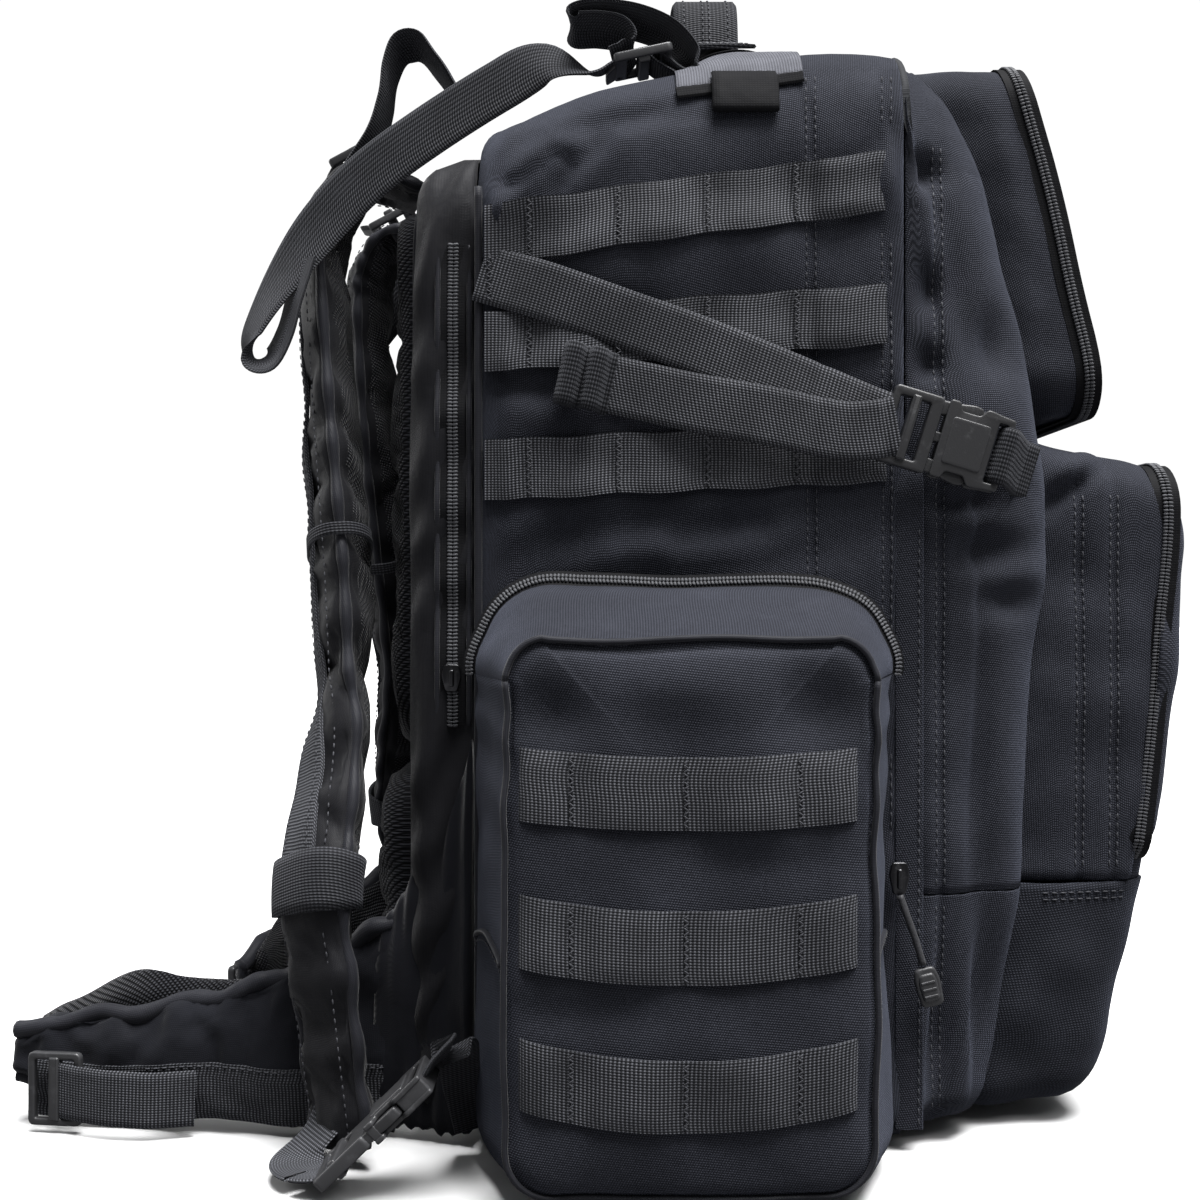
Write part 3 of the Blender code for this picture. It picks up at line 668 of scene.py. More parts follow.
def side_x(y, z):
    """How far the side panel stands from the middle plane: a soft pillow, pulled in at its seams."""
    pillow = 0.0050 * (1 - ((y + 0.035) / 0.11) ** 2) * ease(z / 0.06) * ease((top_height(y) - z) / 0.07)
    folds = 0.0062 * wave(y * 9, z * 13, 0, 1) + 0.0030 * wave(y * 26, z * 34, 0, 2)
    for height in (0.410, 0.3585, 0.3005):
        folds -= 0.0028 * math.exp(-((z - height - (0.05 - y) * 0.07) / 0.013) ** 2)
    ripple = math.sin((z * 1.0 + y * 0.25) * 230 + 5 * wave(y * 11, z * 9, 0, 4))
    folds += 0.0020 * ripple * bump_at(y, z, -0.02, 0.265, 0.07, 0.02)
    crease = math.exp(-((z - 0.452 + (y + 0.03) * 0.18) / 0.006) ** 2)
    folds -= 0.0045 * crease * bump_at(y, z, -0.01, 0.452, 0.04, 0.02)
    lean = (y - 0.03) * 0.7 + (z - 0.44) * 0.7
    creases = 0.0036 * math.sin(lean * 240 + 5 * wave(y * 15, z * 15, 0, 3))
    creases = creases * bump_at(y, z, 0.035, 0.425, 0.03, 0.035)
    groove = 0.0
    for seam in (-0.0915, -0.1245):
        groove -= 0.0013 * math.exp(-((y - seam) / 0.0022) ** 2)
    calm = ease((0.050 - y) / 0.012) * ease((y - MAIN_FRONT) / 0.006)
    return HALF_WIDTH + (max(pillow, 0.0) + folds + creases) * calm + groove


PANEL_FOLDS = (
    ((0.0520, 0.4040), (0.0200, 0.4310), 0.0078, 0.0066), ((0.0230, 0.4170), (0.0000, 0.4390), 0.0042, 0.0050),
    ((0.0480, 0.3360), (0.0240, 0.3300), 0.0036, 0.0060), ((-0.0700, 0.2720), (-0.0350, 0.2660), 0.0030, 0.0060),
)


def panel_valley(y, z):
    """Depth of the sharp creases pressed into the side panel, each along its own short line."""
    depth = 0.0
    for (start_y, start_z), (end_y, end_z), deep, wide in PANEL_FOLDS:
        along_y, along_z = end_y - start_y, end_z - start_z
        share = clamp(((y - start_y) * along_y + (z - start_z) * along_z) / (along_y ** 2 + along_z ** 2))
        away = math.hypot(y - start_y - along_y * share, z - start_z - along_z * share)
        depth += deep * math.exp(-(away / wide) ** 2)
    return depth


def make_main():
    count = 420
    stations = [MAIN_FRONT + 0.0005 + 0.0021 * step for step in range(86)] + [0.0485, 0.0505, 0.0522, 0.0534, 0.0540]
    rows = []
    for y in stations:
        inset = 0.0
        if y > 0.046:
            share = (y - 0.046) / 0.008
            inset = 0.008 * (1 - math.sqrt(max(0.0, 1 - share * share)))
        high = top_height(y) - inset
        outline = fixed_outline(HALF_WIDTH - inset, 0.0031 + inset, high, 0.018, 0.040, count)
        row = []
        for x, z in outline:
            flat = ease((abs(x) - 0.125) / 0.03)
            out = side_x(y, z) - HALF_WIDTH - panel_valley(y, z) * ease((0.051 - y) / 0.008)
            sag = 0.004 * wave(x * 8, y * 12, 0, 5) + 0.002 * wave(x * 25, y * 25, 0, 6)
            up = sag * (1 - flat) if z > 0.3 else 0.0
            row.append((x + math.copysign(out * flat, x), y, z + up))
        rows.append(row)
    for inset in (0.03, 0.09):
        outline = fixed_outline(HALF_WIDTH - 0.008 - inset, 0.011 + inset, 0.438 - inset, 0.018, 0.030, count)
        rows.append([(x, MAIN_BACK, z) for x, z in outline])
    shell("main_body", rows, (0, -0.04, 0.24), BAG_CLOTH, "pack", "main_compartment", wrap=True, fill_last=True)
    for side in (-1, 1):
        for seam in (-0.0895, -0.0935, -0.1225, -0.1265):
            line = []
            for step in range(150):
                z = 0.012 + (top_height(seam) - 0.030) * step / 149
                line.append((side * (side_x(seam, z) + 0.0002), seam, z))
            stitches["pack"].stitch(line)


def side_strip(side, y, z, lift):
    return Vector((side * (side_x(y, z) + lift), y, z))


def make_side_rows():
    """The three webbing rows on each side panel, tacked every 38 mm and bulging between."""
    beads = stitches["pack"]
    rear_y, length = 0.050, 0.174
    tacks = (rear_y, 0.0305, -0.008, -0.0465, -0.085, -0.122)
    end_lift = (0.0042, 0.0020, 0.0)
    for side, name in SIDES:
        for number, (rear_z, front_z) in enumerate(SIDE_ROWS):
            rows = []
            steps = 116
            for step in range(steps + 1):
                share = step / steps
                y = rear_y - length * share
                z = rear_z + (front_z - rear_z) * share
                near = min(abs(y - tack) for tack in tacks)
                bulge = 0.0026 * ease(near / 0.015) + 0.0007 * wave(y * 30, number * 3.0, side, 9)
                bulge *= 0.3 + 0.7 * ease((y + 0.125) / 0.035)
                bulge += end_lift[number] * ease((-y - 0.080) / 0.035)
                bulge += 0.4 * end_lift[number] * ease((y - 0.010) / 0.025)
                sag = -0.0012 * ease(near / 0.018)
                section = []
                half = ROW_WIDTH / 2
                for k in range(9):
                    v = -half + ROW_WIDTH * k / 8
                    edge = 1 - abs(v / half) ** 6
                    section.append(side_strip(side, y, z + v + sag, 0.0026 + bulge * (0.55 + 0.45 * edge)))
                back = [point - Vector((side * 0.0024, 0, 0)) for point in reversed(section)]
                rows.append(section + back)
            strip = surface(f"side_row_{name}_{number + 1}", rows, GRID, wrap=True, caps=True, sharp=60)
            attach(strip, "pack", "webbing", f"side_webbing_{name}_{number + 1}")
            for tack in tacks[1:-1]:
                share = (rear_y - tack) / length
                z = rear_z + (front_z - rear_z) * share
                low = side_strip(side, tack, z - ROW_WIDTH / 2 + 0.001, 0.0034)
                high = side_strip(side, tack, z + ROW_WIDTH / 2 - 0.001, 0.0034)
                beads.tack(low, high, (0, 1, 0))


# ---------------------------------------------------------------- lofts of the front section, pockets and pouches

def grid_normals(grid, wrap):
    """Unit normals of a grid of points, their sign left as it falls."""
    if wrap:
        across = np.roll(grid, -1, axis=1) - np.roll(grid, 1, axis=1)
    else:
        across = np.gradient(grid, axis=1)
    down = np.gradient(grid, axis=0)
    normals = np.cross(across, down)
    size = np.linalg.norm(normals, axis=2, keepdims=True)
    return normals / np.maximum(size, 1e-12)


def displaced(rows, amount, centre, wrap=False):
    """The rows moved along their normals, away from the centre, by amount(point, normal)."""
    grid = np.array([[tuple(point) for point in row] for row in rows], float)
    normals = grid_normals(grid, wrap)
    outward = np.sum((grid - np.array(centre)) * normals)
    if outward < 0:
        normals = -normals
    for i in range(grid.shape[0]):
        for j in range(grid.shape[1]):
            grid[i, j] += normals[i, j] * amount(grid[i, j], normals[i, j])
    return grid


BAG_CLOTH = 0.0022
POCKET_CLOTH = 0.0016


def shell(name, rows, centre, thickness, body, *nodes, folds=None, material=NYLON, slot="black_nylon", wrap=False,
          fill_last=False, flat=None):
    """A lined fabric shell through the rows, displaced by folds away from its centre, and attached."""
    if folds:
        rows = displaced(rows, folds, centre, wrap)
    piece = surface(name, rows, material, wrap=wrap, away=centre, fill_last=fill_last)
    if flat:
        flat_uvs(piece, *flat)
    thicken(piece, thickness, LINING)
    return attach(piece, body, slot, *nodes)


def slice_loop(half, back, face, radius, pillow=0.0):
    """A level slice, open at the back: (across, depth) points up one side, round the face and back."""
    side, corner, front = 26, 9, 27
    radius = min(radius, half * 0.95, abs(face - back) * 0.95)
    points = []
    length = face - radius - back
    for step in range(side):
        share = step / side
        points.append((half + pillow * math.sin(math.pi * share), back + length * share))
    for step in range(corner):
        angle = math.radians(90 * step / corner)
        points.append((half - radius + radius * math.cos(angle), face - radius + radius * math.sin(angle)))
    for step in range(front + 1):
        share = step / front
        points.append(((half - radius) * (1 - share), face + pillow * 0.6 * math.sin(math.pi / 2 * share)))
    return points + [(-a, d) for a, d in reversed(points[:-1])]


def drum_rows(half, low, high, back, face, shares, low_radius, high_radius, slope=0.0, count=300, fill=()):
    """Loops across a pocket: each share is (depth from its back to its face, inset, swell)."""
    rows = []
    for depth, inset, swell in shares:
        outline = fixed_outline(
            half - inset + swell, low + inset, high - inset - slope * depth, low_radius, high_radius, count
        )
        rows.append([(x, back(z) + (face(z) - back(z)) * depth, z) for x, z in outline])
    depth, inset, swell = shares[-1]
    for more in fill:
        outline = fixed_outline(
            half - inset - more, low + inset + more, high - inset - slope - more,
            max(low_radius - more, 0.004), max(high_radius - more, 0.004), count,
        )
        rows.append([(x, face(z), z) for x, z in outline])
    return rows


def bvh_of(obj):
    return BVHTree.FromPolygons(
        [tuple(v.co) for v in obj.data.vertices], [tuple(p.vertices) for p in obj.data.polygons]
    )


def lay(tree, start, direction, lift=0.0):
    """The point where a ray from start meets a piece, lifted back along the ray."""
    direction = Vector(direction).normalized()
    hit = tree.ray_cast(Vector(start), direction)[0]
    if hit is None:
        hit = tree.find_nearest(Vector(start))[0]
    return hit - direction * lift


def sew(body, tree, start, reach, steps, direction, lift=0.0002):
    """Stitches on a piece, under a straight line from start by reach seen along direction."""
    line = []
    for k in range(steps + 1):
        place = tuple(at + run * k / steps for at, run in zip(start, reach))
        line.append(lay(tree, place, direction, lift))
    stitches[body].stitch(line)


def zipper(name, line, normals, outward, near, far, tape=0.007):
    """A coil zipper: tape and coil of each side on its own body; outward points from the near to the far side."""
    for sign, body, label in ((-1, near, "near"), (1, far, "far")):
        rows = []
        for point, along, up, out in zip(line, directions(line), normals, outward):
            out = (out - along * out.dot(along)).normalized() * sign
            start = point + out * 0.0004
            section = [start + out * tape * step / 4 + up * 0.0009 for step in range(5)]
            section += [p - up * 0.0008 for p in reversed(section)]
            rows.append(section)
        made = surface(f"{name}_tape_{label}", rows, TAPE_AND_SHADE, wrap=True, caps=True, sharp=60)
        attach(made, body, "smooth_fabric")
        spots = evenly(line, 0.0016)
        count = len(line) - 1
        for index, (spot, along) in enumerate(zip(spots, directions(spots))):
            place = min(int(index / max(len(spots) - 1, 1) * count), count)
            up = normals[place]
            out = outward[place]
            out = (out - along * out.dot(along)).normalized() * sign
            start = spot + up * 0.0016 - out * 0.0002
            coils[body].bar(start, start + out * 0.0027 + along * 0.0003, 0.00068, up)


# ---------------------------------------------------------------- front section

CLOSING = (0.85, 0.6, 0.35, 0.12, 0.01)


def front_depth(z):
    return -eased(FRONT_PROFILE, z, 0.03)


def front_folds(point, normal):
    x, y, z = point
    s = clamp((-y + MAIN_FRONT) / 0.06)
    amount = 0.0050 * wave(x * 14, y * 16, z * 9, 11) + 0.0024 * wave(x * 34, y * 40, z * 28, 12)
    amount += 0.0022 * wave(x * 4, y * 60, z * 5, 13) * ease((0.27 - z) / 0.08)
    if abs(normal[0]) > 0.4:
        for cy, cz, depth, sy, sz in (
            (-0.139, 0.428, 0.0050, 0.008, 0.006), (-0.141, 0.376, 0.0045, 0.008, 0.008),
            (-0.141, 0.343, 0.0038, 0.008, 0.006), (-0.176, 0.352, 0.0045, 0.010, 0.014),
            (-0.170, 0.262, 0.0045, 0.014, 0.007), (-0.180, 0.240, 0.0035, 0.012, 0.006),
            (-0.160, 0.283, 0.0030, 0.012, 0.005), (-0.172, 0.070, 0.0055, 0.006, 0.040),
            (-0.150, 0.050, 0.0040, 0.006, 0.035), (-0.165, 0.150, 0.0025, 0.006, 0.040),
        ):
            amount -= 2.1 * depth * bump_at(y, z, cy, cz, 1.15 * sy, 1.15 * sz)
        for seam in (-0.1480, -0.1660):
            if seam == -0.1480 or z < 0.30:
                amount -= 0.0016 * math.exp(-((y - seam) / 0.0024) ** 2)
    return amount * ease(s * 6)


def front_level(z, half, back, face, radius):
    return [(a, -d, z) for a, d in slice_loop(half, back, face, radius, 0.0035)]


def front_rows(low, high, top_radius, foot_radius):
    rows = []
    step = 0.0036
    levels = []
    z = low
    while z < high:
        levels.append(z)
        z += step
    levels += [high - 0.0012, high - 0.0003]
    back = -MAIN_FRONT + 0.0006
    for z in sorted(levels):
        half = FRONT_HALF
        face = front_depth(z)
        if top_radius and z > high - top_radius:
            t = (z - (high - top_radius)) / top_radius
            half -= top_radius * (1 - math.sqrt(max(0.0, 1 - t * t)))
        if top_radius and z > high - 0.03:
            t = (z - (high - 0.03)) / 0.03
            face -= 0.024 * (1 - math.sqrt(max(0.0, 1 - t * t)))
        if foot_radius and z < low + foot_radius:
            t = 1 - (z - low) / foot_radius
            half -= foot_radius * (1 - math.sqrt(max(0.0, 1 - t * t)))
            face -= foot_radius * (1 - math.sqrt(max(0.0, 1 - t * t)))
        rows.append(front_level(z, half, back, max(face, back + 0.004), 0.030))
    return rows, half, face, back


def nested(half, back, face, z):
    """Ever smaller slices at one level, which close a loft."""
    return [front_level(z, half * k, back, back + (face - back) * k, 0.03 * k) for k in CLOSING]


def make_front():
    rows, half, face, back = front_rows(SPLIT_Z + 0.0002, FRONT_TOP, 0.045, 0.0)
    rows += nested(half, back, face, FRONT_TOP)
    upper = shell(
        "front_section", rows, (0, MAIN_FRONT, 0.3), BAG_CLOTH, "front_panel", "front_compartment", folds=front_folds
    )
    rows, half, face, back = front_rows(0.006, SPLIT_Z - 0.0002, 0.0, 0.018)
    rows = rows[::-1]
    rows += nested(0.139, back, front_depth(0.006) - 0.018, 0.006)
    lower = shell("front_foot", rows, (0, MAIN_FRONT, 0.06), BAG_CLOTH, "pack", "front_base", folds=front_folds)
    trees = {"front_panel": bvh_of(upper), "pack": bvh_of(lower)}
    for side, name in SIDES:
        for body, low, high in (("front_panel", SPLIT_Z + 0.004, 0.440), ("pack", 0.016, SPLIT_Z - 0.004)):
            for seam in (-0.1462, -0.1498):
                sew(body, trees[body], (side * 0.2, seam, low), (0, 0, high - low), 89, (-side, 0, 0))
        rows = []
        for step in range(120):
            z = 0.010 + (0.318 - 0.010) * step / 119
            x = side_x(MAIN_FRONT + 0.002, z) - 0.0075 * ease((z - 0.285) / 0.033)
            section = [
                (side * (x - 0.0005), MAIN_FRONT + 0.0045, z), (side * (x + 0.0012), MAIN_FRONT + 0.0040, z),
                (side * (x + 0.0020), MAIN_FRONT - 0.0010, z), (side * (x + 0.0018 + 0.0006 * wave(z * 30, side)),
                 MAIN_FRONT - 0.0075, z), (side * (x + 0.0006), MAIN_FRONT - 0.0080, z),
                (side * (x + 0.0002), MAIN_FRONT - 0.0010, z),
            ]
            rows.append(section)
        flap = surface(f"storm_flap_{name}", rows, NYLON, wrap=True, caps=True, sharp=50)
        attach(flap, "pack", "black_nylon")
        heights = [0.012 + 0.26 * k / 60 for k in range(61)]
        stitches["pack"].stitch(
            [(side * (side_x(MAIN_FRONT + 0.002, z) + 0.0021), MAIN_FRONT - 0.0058, z) for z in heights]
        )
    return trees


# ---------------------------------------------------------------- front pockets

SHARE = 0.825


def pocket_back(z):
    return -front_depth(z) - 0.0005


def pocket_folds(seed, size, zip_y=None):
    def amount(point, normal):
        x, y, z = point
        calm = 1.0 if zip_y is None else 0.1 + 0.9 * ease((abs(y - zip_y(z)) - 0.006) / 0.014)
        broad = 0.0052 * wave(x * 17, y * 17, z * 15, seed)
        return calm * size * (broad + 0.0025 * wave(x * 42, y * 42, z * 42, seed + 1))

    return amount


def face_shares(radius):
    """drum_rows() shares for the rounded edge of a pocket's face."""
    shares = []
    for k in range(9):
        angle = math.radians(90 * k / 8)
        shares.append((0.84 + 0.16 * math.sin(angle), radius * (1 - math.cos(angle)), 0.0))
    return shares


def make_upper_pocket():
    low, high = UPPER_Z

    def face(z):
        return eased(UPPER_FACE, z, 0.016)

    def zip_y(z):
        return pocket_back(z) + (face(z) - pocket_back(z)) * SHARE

    steps = [(-0.12 + (SHARE + 0.12) * k / 24, 0.0, 0.0022 * math.sin(math.pi * k / 24)) for k in range(25)]
    rows = drum_rows(UPPER_HALF, low, high, pocket_back, face, steps, 0.022, 0.022)
    shell(
        "upper_pocket_sides", rows, (0, -0.2, 0.41), POCKET_CLOTH, "front_panel", "upper_pocket",
        folds=pocket_folds(21, 0.8, zip_y), wrap=True,
    )
    fill = (0.006, 0.012, 0.018, 0.024, 0.03, 0.036, 0.042, 0.050, 0.058, 0.066)

    def wall(z):
        return pocket_back(z) - (face(z) - pocket_back(z)) * 0.116

    rows = drum_rows(
        UPPER_HALF - 0.0004, low + 0.0004, high - 0.0004, pocket_back, wall, [(1.0, 0.0, 0.0)], 0.022, 0.022,
        fill=fill,
    )
    shell(
        "upper_pocket_back", rows, (0, -0.24, 0.41), POCKET_CLOTH, "front_panel", wrap=True, fill_last=True,
        flat=(0, 2),
    )
    rows = drum_rows(UPPER_HALF, low, high, pocket_back, face, face_shares(0.011), 0.022, 0.022, fill=fill)
    cover = shell(
        "upper_pocket_face", rows, (0, -0.19, 0.41), POCKET_CLOTH, "upper_cover", "upper_pocket_cover",
        folds=pocket_folds(23, 0.9, zip_y), wrap=True, fill_last=True, flat=(0, 2),
    )
    ring_zipper("upper_zip", UPPER_HALF, low, high, face, SHARE + 0.008, 0.022, 0.022, 0.0, "upper_cover")
    face_rows("upper_row", bvh_of(cover), "upper_cover", (0.4185, 0.3835), 0.088)


def ring_zipper(name, half, low, high, face, share, low_radius, high_radius, slope, cover_body):
    """A coil zipper round a pocket's sides, from its foot's middle and back."""
    top = high - slope * share
    outline = rounded_outline(
        half + 0.0004, low - 0.0004, high + 0.0004 - slope * share, low_radius, high_radius, 0.0035
    )
    line = []
    normals = []
    outward = []
    centre_z = (low + high) / 2
    for x, z in outline + outline[:1]:
        back = pocket_back(z)
        line.append(Vector((x, back + (face(z) - back) * share, z)))
        inner_x = clamp(x, -half + high_radius, half - high_radius)
        inner_z = clamp(z, low + low_radius, top - high_radius)
        out = Vector((x - inner_x, 0, z - inner_z))
        if out.length < 1e-6:
            out = Vector((0, 0, z - centre_z))
        normals.append(out.normalized())
        outward.append(Vector((0, -1, 0)))
    zipper(name, line, normals, outward, "front_panel", cover_body, 0.0055)


def face_rows(name, tree, body, levels, half):
    """Webbing rows across a pocket's face, tacked and bulging between the tacks."""
    height = ROW_WIDTH
    count = max(2, round(2 * half / 0.0385))
    tacks = [-half + 0.004 + (2 * half - 0.008) * k / count for k in range(count + 1)]
    for number, level in enumerate(levels):
        rows = []
        for step in range(101):
            x = -half + 2 * half * step / 100
            near = min(abs(x - tack) for tack in tacks)
            bulge = 0.0022 * ease(near / 0.014) * (1 + 0.25 * wave(x * 30, number * 2.7, 0, 31))
            section = []
            for k in range(9):
                z = level - height / 2 + height * k / 8 - 0.0010 * ease(near / 0.016)
                hit = lay(tree, (x, -0.40, z), (0, 1, 0), 0.0012)
                edge = 1 - abs((k - 4) / 4) ** 6
                section.append(hit + Vector((0, -bulge * (0.6 + 0.4 * edge), 0)))
            section += [point + Vector((0, 0.0010, 0)) for point in reversed(section)]
            rows.append(section)
        strip = surface(f"{name}_{number + 1}", rows, GRID, wrap=True, caps=True, sharp=60)
        attach(strip, body, "webbing")
        for tack in tacks:
            low = lay(tree, (tack, -0.40, level - height / 2 + 0.001), (0, 1, 0), 0.0020)
            high = lay(tree, (tack, -0.40, level + height / 2 - 0.001), (0, 1, 0), 0.0020)
            stitches[body].tack(low, high, (1, 0, 0))


def make_lower_pocket():
    low, high = SPLIT_Z + 0.0004, LOWER_TOP

    def face(z):
        return eased(LOWER_FACE, z, 0.016)

    steps = [(-0.16 + (SHARE + 0.16) * k / 30, 0.0, 0.0025 * math.sin(math.pi * k / 30)) for k in range(31)]
    rows = drum_rows(LOWER_HALF, low, high, pocket_back, face, steps, 0.004, 0.020, LOWER_SLOPE, 360)
    middle = (0, -0.23, 0.22)
    tub = shell(
        "lower_pocket_sides", rows, middle, POCKET_CLOTH, "front_panel", "lower_pocket", folds=lower_folds, wrap=True
    )
    fill = (0.006, 0.012, 0.018, 0.026, 0.034, 0.042, 0.052, 0.062, 0.072)
    rows = drum_rows(
        LOWER_HALF, LOWER_COVER_LOW, high, pocket_back, face, face_shares(0.012), 0.012, 0.020, LOWER_SLOPE, 320, fill
    )
    cover = shell(
        "lower_pocket_face", rows, middle, POCKET_CLOTH, "lower_cover", "lower_pocket_cover",
        folds=pocket_folds(27, 0.9), wrap=True, fill_last=True, flat=(0, 2),
    )
    ring_zipper(
        "lower_zip", LOWER_HALF, LOWER_COVER_LOW, high, face, SHARE + 0.008, 0.012, 0.020, LOWER_SLOPE, "lower_cover"
    )
    face_rows("lower_row", bvh_of(cover), "lower_cover", (0.258, 0.208, 0.158), 0.100)

    def back(z):
        return -pocket_back(z)

    rows = []
    levels = [SPLIT_Z - 0.0004 - 0.0034 * k for k in range(31)]
    for z in levels:
        half = LOWER_HALF
        depth = -face(z)
        if z < 0.026:
            t = 1 - (z - 0.006) / 0.020
            cut = 0.018 * (1 - math.sqrt(max(0.0, 1 - t * t)))
            half -= cut
            depth -= cut
        rows.append([(a, -d, z) for a, d in slice_loop(half, back(z) - 0.014, depth, 0.022, 0.0025)])
    z = levels[-1]
    for k in CLOSING:
        rows.append([(a, -d, z) for a, d in slice_loop(half * k, back(z), back(z) + (depth - back(z)) * k, 0.02 * k)])
    foot = shell(
        "lower_pocket_foot", rows, (0, -0.2, 0.06), 0.0018, "pack", "lower_pocket_base", folds=pocket_folds(29, 0.9),
        material=BASE,
    )
    rows = []
    for k in range(6):
        z = SPLIT_Z + 0.0002 + (LOWER_COVER_LOW + 0.0060 - SPLIT_Z) * k / 5
        rows.append([(a, -d, z) for a, d in slice_loop(LOWER_HALF - 0.0012, back(z), -face(z) - 0.0014, 0.020)])
    shell("lower_pocket_lip", rows, (0, -0.2, 0.12), 0.0014, "front_panel", material=BASE)
    tree = bvh_of(tub)
    base_tree = bvh_of(foot)
    for side in (-1, 1):
        for y in (-0.2160, -0.2195, -0.2315, -0.2350):
            sew("front_panel", tree, (side * 0.18, y, 0.119), (0, 0, 0.17), 50, (-side, 0, 0), 0.0003)
        for z in (0.1075, 0.1045):
            sew("pack", base_tree, (side * 0.18, -0.200, z), (0, -0.040, 0), 20, (-side, 0, 0), 0.0003)
    sew("pack", base_tree, (-0.105, -0.40, 0.1065), (0.21, 0, 0), 60, (0, 1, 0), 0.0003)


def lower_folds(point, normal):
    x, y, z = point
    amount = 0.0052 * wave(x * 15, y * 15, z * 10, 25) + 0.0024 * wave(x * 40, y * 40, z * 36, 26)
    if abs(normal[0]) > 0.4:
        lean = (y + 0.205) * 0.55 + (z - 0.285) * 0.85
        amount -= 0.0050 * math.exp(-(lean / 0.004) ** 2) * bump_at(y, z, -0.215, 0.280, 0.02, 0.03)
        amount += 0.0040 * math.exp(-((lean - 0.009) / 0.006) ** 2) * bump_at(y, z, -0.215, 0.285, 0.02, 0.03)
        for seam in (-0.2178, -0.2332):
            amount -= 0.0013 * math.exp(-((y - seam) / 0.0022) ** 2)
    return amount


# ---------------------------------------------------------------- side pouches

POUCH_SPLIT = 0.2085
POUCH_BACK_SHARE = 0.13


def pouch_outline(half, low, high, low_radius, high_radius):
    """(across, up) points with the same point always at the lid's split; also the split's two places."""
    def run(a, b, count):
        return [(a[0] + (b[0] - a[0]) * k / count, a[1] + (b[1] - a[1]) * k / count) for k in range(count)]

    def arc(x, z, radius, start, count):
        points = []
        for k in range(count):
            angle = math.radians(start + 90 * k / count)
            points.append((x + radius * math.cos(angle), z + radius * math.sin(angle)))
        return points

    right = run((0, low), (half - low_radius, low), 14)
    right += arc(half - low_radius, low + low_radius, low_radius, -90, 10)
    right += run((half, low + low_radius), (half, POUCH_SPLIT), 46)
    split = len(right)
    right += run((half, POUCH_SPLIT), (half, max(high - high_radius, POUCH_SPLIT + 0.0004)), 3)
    right += arc(half - high_radius, max(high - high_radius, POUCH_SPLIT + 0.0004), high_radius, 0, 14)
    right += run((half - high_radius, high), (0, high), 16)
    right.append((0, high))
    left = [(-x, z) for x, z in reversed(right[1:-1])]
    return right + left, split, len(right) - 1 + (len(right) - 1 - split)


def pouch_folds(point, normal):
    x, y, z = point
    x = -abs(x)
    amount = 0.0034 * wave(x * 12, y * 15, z * 12, 41) + 0.0014 * wave(x * 35, y * 32, z * 30, 42)
    if abs(normal[0]) > 0.75:
        amount *= 1.25
        amount -= 0.0070 * bump_at(y, z, 0.018, 0.196, 0.013, 0.012)
        amount -= 0.0070 * bump_at(y, z, -0.086, 0.198, 0.016, 0.014)
        amount += 0.0045 * bump_at(y, z, -0.026, 0.207, 0.026, 0.011)
        amount -= 0.0028 * bump_at(y, z, -0.060, 0.139, 0.020, 0.007)
        amount -= 0.0028 * bump_at(y, z, 0.005, 0.082, 0.030, 0.008)
    else:
        amount += 0.0007 * math.sin(z * 210 + 4 * wave(x * 20, z * 20, 0, 43)) * ease((z - 0.11) / 0.05)
    return amount


